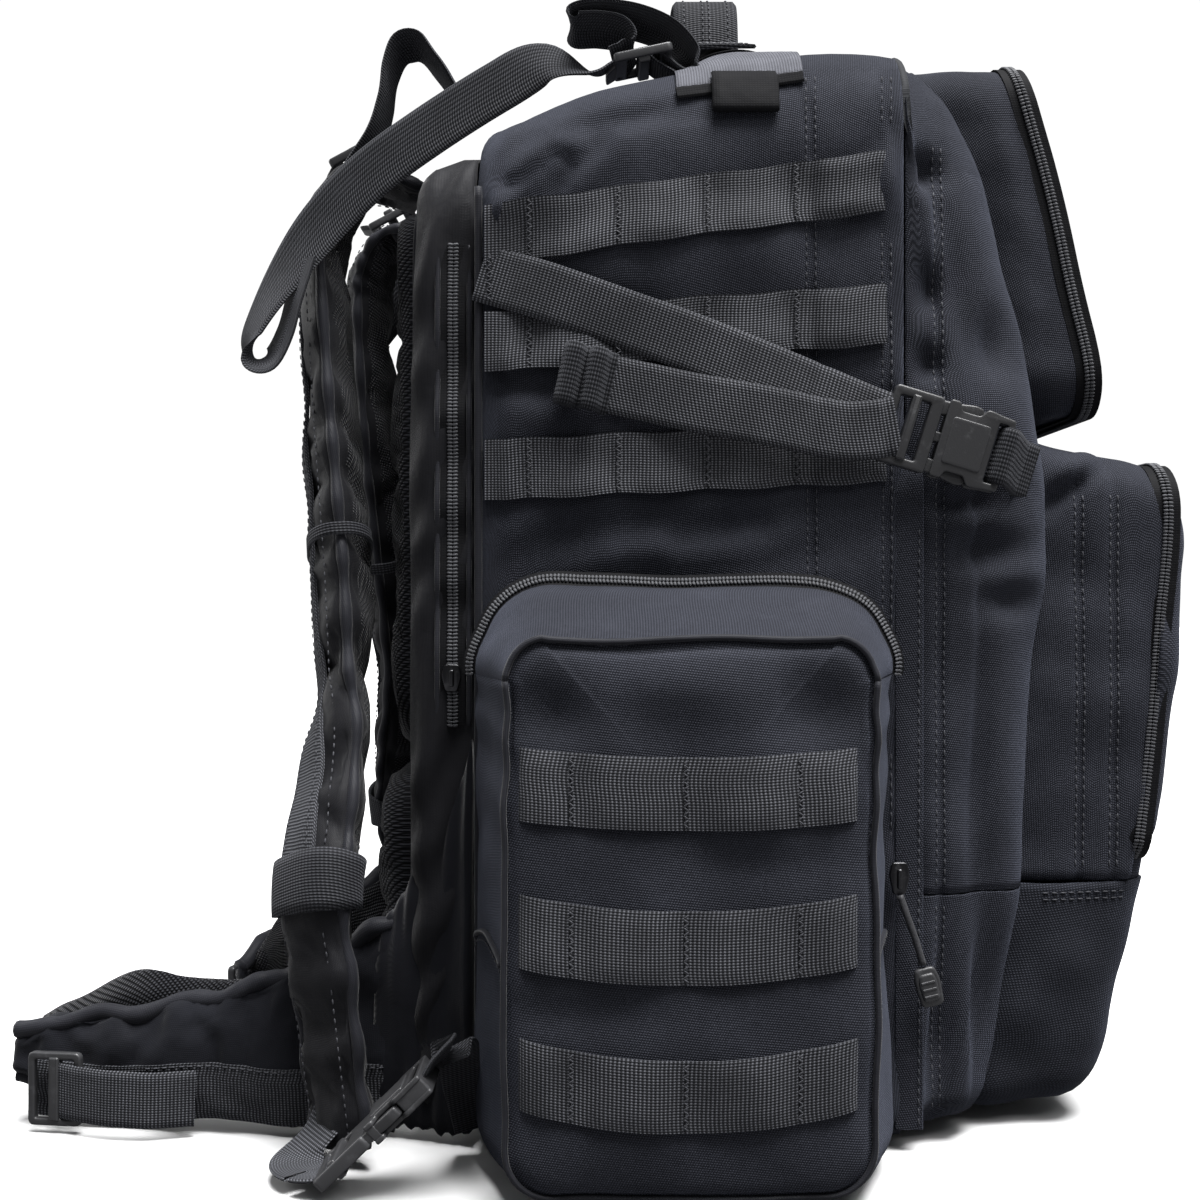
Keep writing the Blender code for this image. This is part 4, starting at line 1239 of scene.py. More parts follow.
def make_pouch(side, name):
    low = 0.003
    rows = []
    shares = [0.0, 0.05, 0.09, POUCH_BACK_SHARE]
    shares += [POUCH_BACK_SHARE + (0.97 - POUCH_BACK_SHARE) * k / 26 for k in range(1, 27)]
    for share in shares:
        half = 0.088 + (0.0714 - 0.088) * ease(share * 0.9 + 0.05) + 0.0020 * math.sin(math.pi * share)
        high = POUCH_TOP_INNER + (0.2238 - POUCH_TOP_INNER) * share + 0.0022 * math.sin(math.pi * share)
        inset = 0.014 * max(0.0, (share - 0.75) / 0.25) ** 2
        outline, split, other = pouch_outline(
            half, low + inset * 0.4, high, 0.016 + 0.004 * share, 0.038 - 0.022 * share
        )
        x = POUCH_INNER + (POUCH_OUTER - POUCH_INNER) * share
        rows.append([(side * x, POUCH_CENTRE + a, z) for a, z in outline])
    edge = len(rows) - 1
    outline, split, other = pouch_outline(0.0709, low + 0.0055, 0.2225, 0.018, 0.015)
    for share, out in (
        (0.02, 0.0), (0.035, 0.0012), (0.06, 0.0022), (0.10, 0.0030), (0.17, 0.0036), (0.25, 0.0042),
        (0.34, 0.0048), (0.43, 0.0052), (0.52, 0.0056), (0.61, 0.0058), (0.70, 0.0060), (0.79, 0.0060),
        (0.87, 0.0060), (0.94, 0.0060), (1.0, 0.0060),
    ):
        loop = []
        for a, z in outline:
            core = (clamp(a, -0.0006, 0.0006), clamp(z, 0.049, 0.160))
            x = side * (POUCH_OUTER - 0.0022 + 1.25 * out)
            loop.append((x, POUCH_CENTRE + a + (core[0] - a) * share, z + (core[1] - z) * share))
        rows.append(loop)
    grid = displaced(rows, pouch_folds, (side * 0.2, POUCH_CENTRE, 0.11), True)
    width = grid.shape[1]
    back_row = 3
    lid_columns = [j % width for j in range(split, other + 1)]
    whole_columns = [j % width for j in range(other, other + width - (other - split) + 1)]
    middle = (side * 0.2, POUCH_CENTRE, 0.11)
    shell(f"pouch_back_{name}", grid[: back_row + 1], (side * 0.17, POUCH_CENTRE, 0.11), 0.0018, "pack", wrap=True)
    between = grid[back_row: edge + 1]
    walls = shell(
        f"pouch_walls_{name}", between[:, whole_columns], middle, 0.0018, "pack", f"side_pouch_{name}"
    )
    shell(
        f"pouch_lid_{name}", between[:, lid_columns], middle, 0.0018, f"pouch_lid_{name}", f"side_pouch_lid_{name}"
    )
    face = shell(
        f"pouch_face_{name}", grid[edge:], (side * 0.19, POUCH_CENTRE, 0.11), 0.0018, "pack", wrap=True,
        fill_last=True, flat=(1, 2),
    )
    face_tree = bvh_of(face)
    wall_tree = bvh_of(walls)
    beads = stitches["pack"]

    zip_line = [Vector(grid[back_row, j]) for j in lid_columns]
    zip_line = evenly(zip_line, 0.003)
    middle = Vector((side * POUCH_INNER, POUCH_CENTRE, 0.16))
    normals = []
    for point in zip_line:
        away = point - Vector((point.x, clamp(point.y, POUCH_CENTRE - 0.05, POUCH_CENTRE + 0.05), min(point.z, 0.21)))
        normals.append(away.normalized() if away.length > 1e-5 else (point - middle).normalized())
    zip_line = [point + radial * 0.0013 for point, radial in zip(zip_line, normals)]
    outer = Vector((side, 0, 0))
    leaning = [(radial * 0.72 + outer * 0.70).normalized() for radial in normals]
    outward = [(outer * 0.72 - radial * 0.70).normalized() for radial in normals]
    zipper(f"pouch_zip_{name}", zip_line, leaning, outward, "pack", f"pouch_lid_{name}", 0.0045)

    tacks = (0.0110, -0.0330, -0.0770)
    for number, level in enumerate(POUCH_ROWS_Z):
        bow = (0.0035, 0.0062, 0.0082)[number]
        strip_rows = []
        ends = (0.0330, -0.1010)
        for step in range(101):
            share = step / 100
            y = ends[0] + (ends[1] - ends[0]) * share
            near = min(abs(y - tack) for tack in (*tacks, *ends))
            bulge = 0.0016 * ease(near / 0.014) * (1 + 0.4 * wave(y * 30, number * 2.1, side, 44))
            drop = bow * (1 - (2 * share - 1) ** 2)
            tuck = -0.0022 * ease((0.004 - min(abs(y - ends[0]), abs(y - ends[1]))) / 0.004)
            section = []
            for k in range(9):
                z = level + bow * 0.45 - drop - POUCH_ROW_WIDTH / 2 + POUCH_ROW_WIDTH * k / 8
                hit = lay(face_tree, (side * 0.40, y, z), (-side, 0, 0), 0.0014)
                edge_share = 1 - abs((k - 4) / 4) ** 6
                section.append(hit + Vector((side * (bulge * (0.55 + 0.45 * edge_share) + tuck), 0, 0)))
            section += [point - Vector((side * 0.0011, 0, 0)) for point in reversed(section)]
            strip_rows.append(section)
        strip = surface(f"pouch_row_{name}_{number + 1}", strip_rows, GRID, wrap=True, caps=True, sharp=60)
        attach(strip, "pack", "webbing", f"pouch_webbing_{name}_{number + 1}")
        for tack in tacks:
            share = (ends[0] - tack) / (ends[0] - ends[1])
            centre = level + bow * 0.45 - bow * (1 - (2 * share - 1) ** 2)
            low, high = centre - POUCH_ROW_WIDTH / 2 + 0.001, centre + POUCH_ROW_WIDTH / 2 - 0.001
            low_end, high_end = (lay(face_tree, (side * 0.40, tack, z), (-side, 0, 0), 0.0022) for z in (low, high))
            beads.tack(low_end, high_end, (0, 1, 0), half=0.0010)

    for a_side in (-1, 1):
        line = []
        for k in range(40):
            x = side * (POUCH_INNER + 0.008 + (POUCH_OUTER - POUCH_INNER - 0.014) * k / 39)
            z = 0.097 + 0.006 * math.sin(math.pi * k / 39)
            line.append(lay(wall_tree, (x, POUCH_CENTRE + a_side * 0.15, z), (0, -a_side, 0), 0.0006))
        hem = tube(f"pouch_hem_{name}_{'rear' if a_side > 0 else 'front'}", line, 0.0012, BINDING)
        attach(hem, "pack", "black_nylon")
        beads.stitch([point + Vector((0, a_side * 0.0002, -0.0035)) for point in line])
    piping = []
    for j in range(width):
        piping.append(Vector(grid[edge, j]) + Vector((side * 0.0006, 0, 0)))
    for label, columns, body in (("lid_piping", lid_columns, f"pouch_lid_{name}"), ("piping", whole_columns, "pack")):
        line = evenly([piping[j] for j in columns], 0.003)
        attach(tube(f"pouch_{label}_{name}", line, 0.0013, BINDING), body, "black_nylon")


# ---------------------------------------------------------------- rear compartment and back pads

def make_rear():
    count = 380

    def folds(point, normal):
        x, y, z = point
        amount = 0.0030 * wave(x * 12, y * 12, z * 9, 51) + 0.0013 * wave(x * 40, y * 30, z * 24, 52)
        if abs(normal[0]) > 0.4:
            amount += 0.0013 * math.sin((z * 0.8 + y * 1.6) * 190 + 5 * wave(0, y * 20, z * 14, 53))
        return amount

    stations = [(0.0545 + (REAR_BACK - 0.010 - 0.0545) * k / 8, 0.0) for k in range(9)]
    for k in range(1, 7):
        angle = math.radians(90 * k / 6)
        stations.append((REAR_BACK - 0.010 + 0.010 * math.sin(angle), 0.010 * (1 - math.cos(angle))))
    loops = []
    for y, inset in stations:
        high = 0.440 - inset - 0.35 * max(0.0, y - 0.0615)
        outline = fixed_outline(REAR_HALF - inset, 0.010 + inset, high, 0.020, 0.035, count)
        loops.append([(x, y, z) for x, z in outline])
    for more in (0.016, 0.024, 0.034, 0.046, 0.060, 0.075, 0.090, 0.110, 0.130):
        outline = fixed_outline(REAR_HALF - more, 0.010 + more, 0.432 - more, 0.010, 0.020, count)
        loops.append([(x, REAR_BACK, z) for x, z in outline])
    body = shell(
        "rear_section", loops, (0, 0.06, 0.22), POCKET_CLOTH, "pack", "rear_compartment", folds=folds,
        material=SMOOTH, slot="smooth_fabric", wrap=True, fill_last=True,
    )
    tree = bvh_of(body)
    line = [lay(tree, (-0.32, 0.0645, 0.185 + 0.211 * k / 60), (1, 0, 0)) for k in range(0, 61, 3)]
    line = smooth_line(line, 90)
    normals = [Vector((-1, 0, 0))] * len(line)
    outward = [up.cross(along).normalized() for along, up in zip(directions(line), normals)]
    zipper("rear_zip", line, normals, outward, "pack", "pack", 0.0050)
    for shift, label in ((-0.0072, "front"), (0.0068, "rear")):
        edge = [point + out * shift + up * 0.0006 for point, out, up in zip(line, outward, normals)]
        attach(tube(f"rear_zip_piping_{label}", edge, 0.0012, BINDING), "pack", "smooth_fabric")
    for side, name in SIDES:
        heights = [0.02 + 0.40 * k / 80 for k in range(81)]
        seam = [(side * (side_x(0.050, z) - 0.0012), 0.0530, z) for z in heights]
        attach(tube(f"rear_seam_piping_{name}", seam, 0.0017, BINDING), "pack", "black_nylon")


def make_cushion(name, node, half, low, high, thick, seed):
    """A mesh-covered cushion on the back, crowned between its sewn channels."""
    count = 200
    pitch = (high - low) / 4
    loops = []
    stations = ((0.0, 0.0), (0.35, 0.0), (0.6, 0.0015), (0.78, 0.004), (0.90, 0.008), (0.97, 0.013), (1.0, 0.019))
    for depth, inset in stations:
        outline = fixed_outline(half - inset, low + inset, high - inset, 0.028, 0.028, count)
        loops.append([(x, REAR_BACK + GAP + thick * depth, z) for x, z in outline])
    inset = 0.019
    while inset < min(half, (high - low) / 2) - 0.012:
        inset += 0.005
        outline = fixed_outline(half - inset, low + inset, high - inset, 0.010, 0.010, count)
        loops.append([(x, REAR_BACK + GAP + thick, z) for x, z in outline])

    def folds(point, normal):
        x, y, z = point
        if y < REAR_BACK + GAP + thick * 0.5:
            return 0.0
        amount = 0.0016 * wave(x * 30, y * 30, z * 30, seed)
        if abs(normal[1]) > 0.5:
            for k in (1, 2, 3):
                amount -= 0.0035 * math.exp(-((z - low - pitch * k) / 0.0035) ** 2) * ease((half - abs(x)) / 0.02)
        return amount

    grid = displaced(loops, folds, (0, REAR_BACK, (low + high) / 2), True)
    pad = surface(name, grid, MESH, wrap=True, away=(0, REAR_BACK, (low + high) / 2), fill_last=True)
    flat_uvs(pad, 0, 2)
    seams = []
    for vert in pad.data.vertices:
        near = min(abs(vert.co.z - low - pitch * k) for k in (1, 2, 3))
        held = vert.co.y < REAR_BACK + GAP + thick * 0.72 or (near < 0.0022 and abs(vert.co.x) < half - 0.012)
        seams.append(1.0 if held else 0.0)
    inflate(pad, seams, 3.0, 0.005)
    attach(pad, "pack", "spacer_mesh", node)
    outline = fixed_outline(half + 0.0005, low - 0.0005, high + 0.0005, 0.028, 0.028, 160)
    line = [(x, REAR_BACK + 0.0022, z) for x, z in outline]
    attach(tube(f"{name}_piping", line + line[:2], 0.0017, BINDING), "pack", "black_nylon")
    tree = bvh_of(pad)
    for k in (1, 2, 3):
        sew("pack", tree, (-half + 0.02, 0.3, low + pitch * k), (2 * half - 0.04, 0, 0), 70, (0, -1, 0))


# ---------------------------------------------------------------- plates: buckles and ladder locks

def fillet(points, radius):
    """A polygon with its corners rounded."""
    steps = 4
    rounded = []
    count = len(points)
    for index in range(count):
        before, here, after = (Vector(points[(index + k) % count]) for k in (-1, 0, 1))
        a, b = before - here, after - here
        reach = min(radius, a.length * 0.45, b.length * 0.45)
        start = here + a.normalized() * reach
        end = here + b.normalized() * reach
        for step in range(steps + 1):
            t = step / steps
            rounded.append(start.lerp(here, t).lerp(here.lerp(end, t), t))
    return rounded


def box_outline(u0, u1, v0, v1, radius=0.001):
    return fillet([(u0, v0), (u1, v0), (u1, v1), (u0, v1)], radius)


def welded(made):
    """A piece with its doubled points joined and its edges sharp."""
    weld = made.modifiers.new("weld", "WELD")
    weld.merge_threshold = 0.00002
    made.data.set_sharp_from_angle(angle=math.radians(32))
    return made


def plate(name, outlines, thickness, bevel, material, to_world):
    """A moulded plate with holes: outlines in (u, v), its thickness along w, placed by to_world(u, v, w)."""
    curve = bpy.data.curves.new(name, "CURVE")
    curve.dimensions = "2D"
    curve.fill_mode = "BOTH"
    curve.extrude = thickness / 2 - bevel
    curve.bevel_depth = bevel
    curve.bevel_resolution = 2
    curve.offset = -bevel
    for outline in outlines:
        spline = curve.splines.new("POLY")
        spline.points.add(len(outline) - 1)
        for point, place in zip(spline.points, outline):
            point.co = (place[0], place[1], 0, 1)
        spline.use_cyclic_u = True
    holder = bpy.data.objects.new(name + "_curve", curve)
    bpy.context.scene.collection.objects.link(holder)
    bpy.context.view_layer.update()
    mesh = bpy.data.meshes.new_from_object(holder.evaluated_get(bpy.context.evaluated_depsgraph_get()))
    bpy.data.objects.remove(holder)
    verts = [to_world(*vert.co) for vert in mesh.vertices]
    faces = [tuple(face.vertices) for face in mesh.polygons]
    bpy.data.meshes.remove(mesh)
    return welded(make(name, verts, faces, material))


def joined(name, pieces):
    """Several meshes as one piece with the first one's material."""
    verts = []
    faces = []
    for piece in pieces:
        base = len(verts)
        verts += [tuple(vert.co) for vert in piece.data.vertices]
        faces += [tuple(base + index for index in face.vertices) for face in piece.data.polygons]
    material = pieces[0].data.materials[0]
    for piece in pieces:
        bpy.data.objects.remove(piece)
    return welded(make(name, verts, faces, material))


def axes(centre, u, v):
    """A to_world function with its own u and v directions; w is their cross product."""
    centre, u, v = Vector(centre), Vector(u).normalized(), Vector(v).normalized()
    w = u.cross(v)
    return lambda a, b, c: centre + u * a + v * b + w * c


def side_release(name, centre, u, v, male_body, female_body, male_node, female_node, split, ends):
    """A side-release buckle; u runs from the male's ladder end to the female's end, with the join at split."""
    world = axes(centre, u, v)

    def raised(offset):
        return lambda a, b, c: world(a, b, c + offset)

    half = 0.0170
    low, high = ends
    ladder = plate(
        "ladder", [
            fillet([(low, -half), (split - 0.002, -half), (split - 0.002, half), (low, half)], 0.0022),
            box_outline(low + 0.0032, low + 0.0085, -0.0130, 0.0130),
            box_outline(low + 0.0118, low + 0.0165, -0.0130, 0.0130),
        ], 0.0058, 0.0010, PLASTIC, world,
    )
    bar = plate(
        "bar", [box_outline(low + 0.0082, low + 0.0121, -0.0145, 0.0145)], 0.0085, 0.0011, PLASTIC, raised(0.0004)
    )
    prongs = []
    for sign in (-1, 1):
        outline = [
            (split - 0.004, sign * 0.0092), (split - 0.004, sign * 0.0158), (split + 0.004, sign * 0.0162),
            (split + 0.0115, sign * 0.0176), (split + 0.0150, sign * 0.0170), (split + 0.0160, sign * 0.0140),
            (split + 0.0120, sign * 0.0122), (split + 0.004, sign * 0.0105),
        ]
        if sign > 0:
            outline.reverse()
        prongs.append(plate("prong", [fillet(outline, 0.001)], 0.0046, 0.0008, PLASTIC, world))
    tongue = plate(
        "tongue", [box_outline(split - 0.003, split + 0.015, -0.0022, 0.0022)], 0.0034, 0.0006, PLASTIC, world
    )
    male = joined(f"{name}_male", [ladder, bar, *prongs, tongue])
    attach(male, male_body, "buckle_plastic", male_node)

    rim = [
        (split, -half), (split + 0.0045, -half), (split + 0.0060, -0.0133), (split + 0.0140, -0.0133),
        (split + 0.0165, -half), (high - 0.0105, -half), (high - 0.0060, -0.0163), (high, -0.0158),
        (high, 0.0158), (high - 0.0060, 0.0163), (high - 0.0105, half), (split + 0.0165, half),
        (split + 0.0140, 0.0133), (split + 0.0060, 0.0133), (split + 0.0045, half), (split, half),
    ]
    sheets = []
    for offset in (0.00355, -0.00355):
        holes = [box_outline(high - 0.0068, high - 0.0026, -0.0130, 0.0130)]
        sheets.append(plate("sheet", [fillet(rim, 0.0013), *holes], 0.0021, 0.0007, PLASTIC, raised(offset)))
    core = [
        (split + 0.0165, -0.0158), (high - 0.0085, -0.0158), (high - 0.0085, 0.0158), (split + 0.0165, 0.0158),
    ]
    sheets.append(plate("core", [fillet(core, 0.001)], 0.0064, 0.0006, PLASTIC, world))
    for sign in (-1, 1):
        wall = [(high - 0.0100, sign * 0.0133), (high - 0.0004, sign * 0.0133), (high - 0.0004, sign * 0.0154),
                (high - 0.0100, sign * 0.0158)]
        if sign < 0:
            wall.reverse()
        sheets.append(plate("wall", [fillet(wall, 0.0006)], 0.0070, 0.0005, PLASTIC, world))
        ear = [(split + 0.0002, sign * 0.0130), (split + 0.0044, sign * 0.0130), (split + 0.0040, sign * 0.0164),
               (split + 0.0002, sign * 0.0164)]
        if sign < 0:
            ear.reverse()
        sheets.append(plate("ear", [fillet(ear, 0.0006)], 0.0058, 0.0005, PLASTIC, world))
    end = [(high - 0.0026, -0.0150), (high, -0.0150), (high, 0.0150), (high - 0.0026, 0.0150)]
    sheets.append(plate("end", [fillet(end, 0.0008)], 0.0086, 0.0009, PLASTIC, world))
    pad = [(split + 0.0030, -0.0102), (high - 0.0095, -0.0102), (high - 0.0095, 0.0102), (split + 0.0030, 0.0102)]
    sheets.append(plate("pad", [fillet(pad, 0.0016)], 0.0102, 0.0006, PLASTIC, world))
    female = joined(f"{name}_female", sheets)
    attach(female, female_body, "buckle_plastic", female_node)


def ladder_lock(name, centre, u, v, body, node):
    """A ladder lock: two webbing slots, a thicker grip bar, a lifted tab."""
    world = axes(centre, u, v)
    frame_plate = plate(
        "frame", [
            fillet([(-0.0150, -0.0155), (0.0120, -0.0155), (0.0120, 0.0155), (-0.0150, 0.0155)], 0.0025),
            box_outline(-0.0085, -0.0040, -0.0130, 0.0130), box_outline(0.0010, 0.0060, -0.0130, 0.0130),
        ], 0.0042, 0.0010, PLASTIC, world,
    )
    grip = plate(
        "grip", [box_outline(-0.0042, 0.0012, -0.0145, 0.0145)], 0.0070, 0.0012, PLASTIC,
        lambda a, b, c: world(a, b, c + 0.0010),
    )
    tab = plate(
        "tab", [fillet([(0.0115, -0.0100), (0.0165, -0.0075), (0.0165, 0.0075), (0.0115, 0.0100)], 0.0015)],
        0.0030, 0.0008, PLASTIC, lambda a, b, c: world(a, b, c + 0.0012 + max(0.0, a - 0.011) * 0.5),
    )
    made = joined(name, [frame_plate, grip, tab])
    return attach(made, body, "buckle_plastic", node)


# ---------------------------------------------------------------- compression straps

BUCKLE_SLOPE = math.radians(17)
BUCKLE_Y, BUCKLE_Z = -0.1455, 0.3094
BUCKLE_X = HALF_WIDTH + 0.0105


def along_strap(distance, lift=0.0):
    y = BUCKLE_Y + distance * math.cos(BUCKLE_SLOPE) - lift * math.sin(BUCKLE_SLOPE)
    z = BUCKLE_Z + distance * math.sin(BUCKLE_SLOPE) + lift * math.cos(BUCKLE_SLOPE)
    return y, z


def make_compression(side, name, front_tree):
    anchor = (0.052, 0.3820)
    out = [(0.0, 0.0016), (0.10, 0.0040), (0.35, 0.0062), (0.7, 0.0100), (1.0, 0.0118)]
    end = along_strap(0.0225)
    line = []
    across = []
    for step in range(90):
        share = step / 89
        y = anchor[0] + (end[0] - anchor[0]) * share
        z = anchor[1] + (end[1] - anchor[1]) * share + 0.0040 * math.sin(math.pi * share) * (1 - share)
        base = max(side_x(clamp(y, MAIN_FRONT, MAIN_BACK - 0.004), z), HALF_WIDTH)
        line.append(Vector((side * (base + interpolate(out, share)), y, z)))
        across.append(Vector((side * 0.10 * math.sin(share * 5), -math.sin(BUCKLE_SLOPE), math.cos(BUCKLE_SLOPE))))
    strap = ribbon(f"compression_strap_{name}_main", line, across, STRAP_WIDTH, WEBBING, GRID)
    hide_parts(f"compression_strap_{name}")
    beads = stitches["pack"]
    start = line[2]
    low = start + Vector((side * 0.0012, 0, -0.011))
    high = start + Vector((side * 0.0012, 0, 0.011))
    beads.tack(low, high, (0, 1, 0))
    beads.tack(low + Vector((0, -0.006, 0)), high + Vector((0, -0.006, 0)), (0, 1, 0))

    free_route = [
        (side * (HALF_WIDTH + 0.0125), *along_strap(0.0190, -0.0005)),
        (side * (HALF_WIDTH + 0.0150), *along_strap(0.0300, -0.0060)),
        (side * (HALF_WIDTH + 0.0150), -0.1000, 0.3125), (side * (HALF_WIDTH + 0.0135), -0.0700, 0.3185),
        (side * (HALF_WIDTH + 0.0115), -0.0400, 0.3240), (side * (HALF_WIDTH + 0.0105), -0.0200, 0.3288),
        (side * (HALF_WIDTH + 0.0102), -0.0040, 0.3325),
    ]
    line = smooth_line(free_route, 70)
    reach = anchor[0] - end[0]
    for point in line:
        share = clamp((anchor[0] - point.y) / reach)
        strap_z = anchor[1] + (end[1] - anchor[1]) * share
        base = max(side_x(clamp(point.y, MAIN_FRONT, MAIN_BACK - 0.004), strap_z), HALF_WIDTH)
        need = base + interpolate(out, share) + 0.0019
        beside = ease((0.040 - abs(strap_z - point.z)) / 0.014)
        point.x = side * (abs(point.x) + beside * max(0.0, need - abs(point.x)))
    across = []
    for index in range(70):
        lean = 0.16 * ease(index / 20)
        across.append(Vector((0, -0.22 + lean, 1)))
    free = ribbon(f"compression_tail_{name}", line, across, STRAP_WIDTH, WEBBING, GRID)
    knot_line = [
        (side * (HALF_WIDTH + 0.0103), -0.0052, 0.3322), (side * (HALF_WIDTH + 0.0116), -0.0022, 0.3329),
        (side * (HALF_WIDTH + 0.0180), 0.0002, 0.3335), (side * (HALF_WIDTH + 0.0188), 0.0040, 0.3345),
        (side * (HALF_WIDTH + 0.0128), 0.0062, 0.3350), (side * (HALF_WIDTH + 0.0130), 0.0086, 0.3355),
        (side * (HALF_WIDTH + 0.0192), 0.0106, 0.3360), (side * (HALF_WIDTH + 0.0186), 0.0148, 0.3370),
        (side * (HALF_WIDTH + 0.0118), 0.0168, 0.3375), (side * (HALF_WIDTH + 0.0098), 0.0150, 0.3371),
        (side * (HALF_WIDTH + 0.0094), 0.0080, 0.3354),
    ]
    # The folded end uses the darker ribbed webbing: painted shade for the shadow between its folds.
    fold = ribbon(
        f"compression_fold_{name}", smooth_line(knot_line, 80), Vector((0, -0.22, 1)), 0.0272, WEBBING, RIBBED_AND_SHADE
    )
    tail_line = []
    over_bar = [(0, -0.0010), (1, 0.0022), (3, 0.0056), (6, 0.0056), (9, 0.0030), (13, 0.0), (26, 0.0)]
    last = lay(front_tree, (side * 0.25, *along_strap(-0.0468)), (-side, 0, 0), 0.0016)
    for k in range(26):
        y, z = along_strap(-0.0243 - 0.0225 * k / 25)
        hit = lay(front_tree, (side * 0.25, y, z), (-side, 0, 0), 0.0012)
        height = BUCKLE_X + interpolate(over_bar, k)
        share = ease((k - 7) / 15)
        tail_line.append(Vector((side * max(height + (abs(last.x) - height) * share, abs(hit.x)), y, z)))
    tail = ribbon(
        f"compression_anchor_{name}", tail_line, Vector((0, -math.sin(BUCKLE_SLOPE), math.cos(BUCKLE_SLOPE))),
        STRAP_WIDTH, WEBBING, RIBBED_AND_SHADE,
    )
    attach(tail, "front_panel", "webbing")
    u = Vector((0, -math.cos(BUCKLE_SLOPE), -math.sin(BUCKLE_SLOPE)))
    v = Vector((0, -math.sin(BUCKLE_SLOPE), math.cos(BUCKLE_SLOPE))) * (1 if side < 0 else -1)
    side_release(
        f"compression_buckle_{name}", (side * BUCKLE_X, BUCKLE_Y, BUCKLE_Z), u, v, f"compression_{name}",
        "front_panel", f"compression_buckle_male_{name}", f"compression_buckle_female_{name}", -0.0005,
        (-0.0245, 0.0290),
    )
    for piece in (strap, free, fold):
        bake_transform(piece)


# ---------------------------------------------------------------- top: handle, patch, ladder locks, lifters

HANDLE_HINGE = Vector((0, -0.0525, 0.4925))
HANDLE_ARCH = ((-0.058, 0.001), (-0.0585, 0.022), (-0.048, 0.044), (-0.020, 0.0525), (0, 0.0535))
LIFTER_X = 0.1215
LIFTER_ROUTE = (
    (0.0, 0.4885), (0.025, 0.4855), (0.047, 0.4745), (0.080, 0.4535), (0.106, 0.434), (0.128, 0.411), (0.146, 0.386),
    (0.1575, 0.366),
)


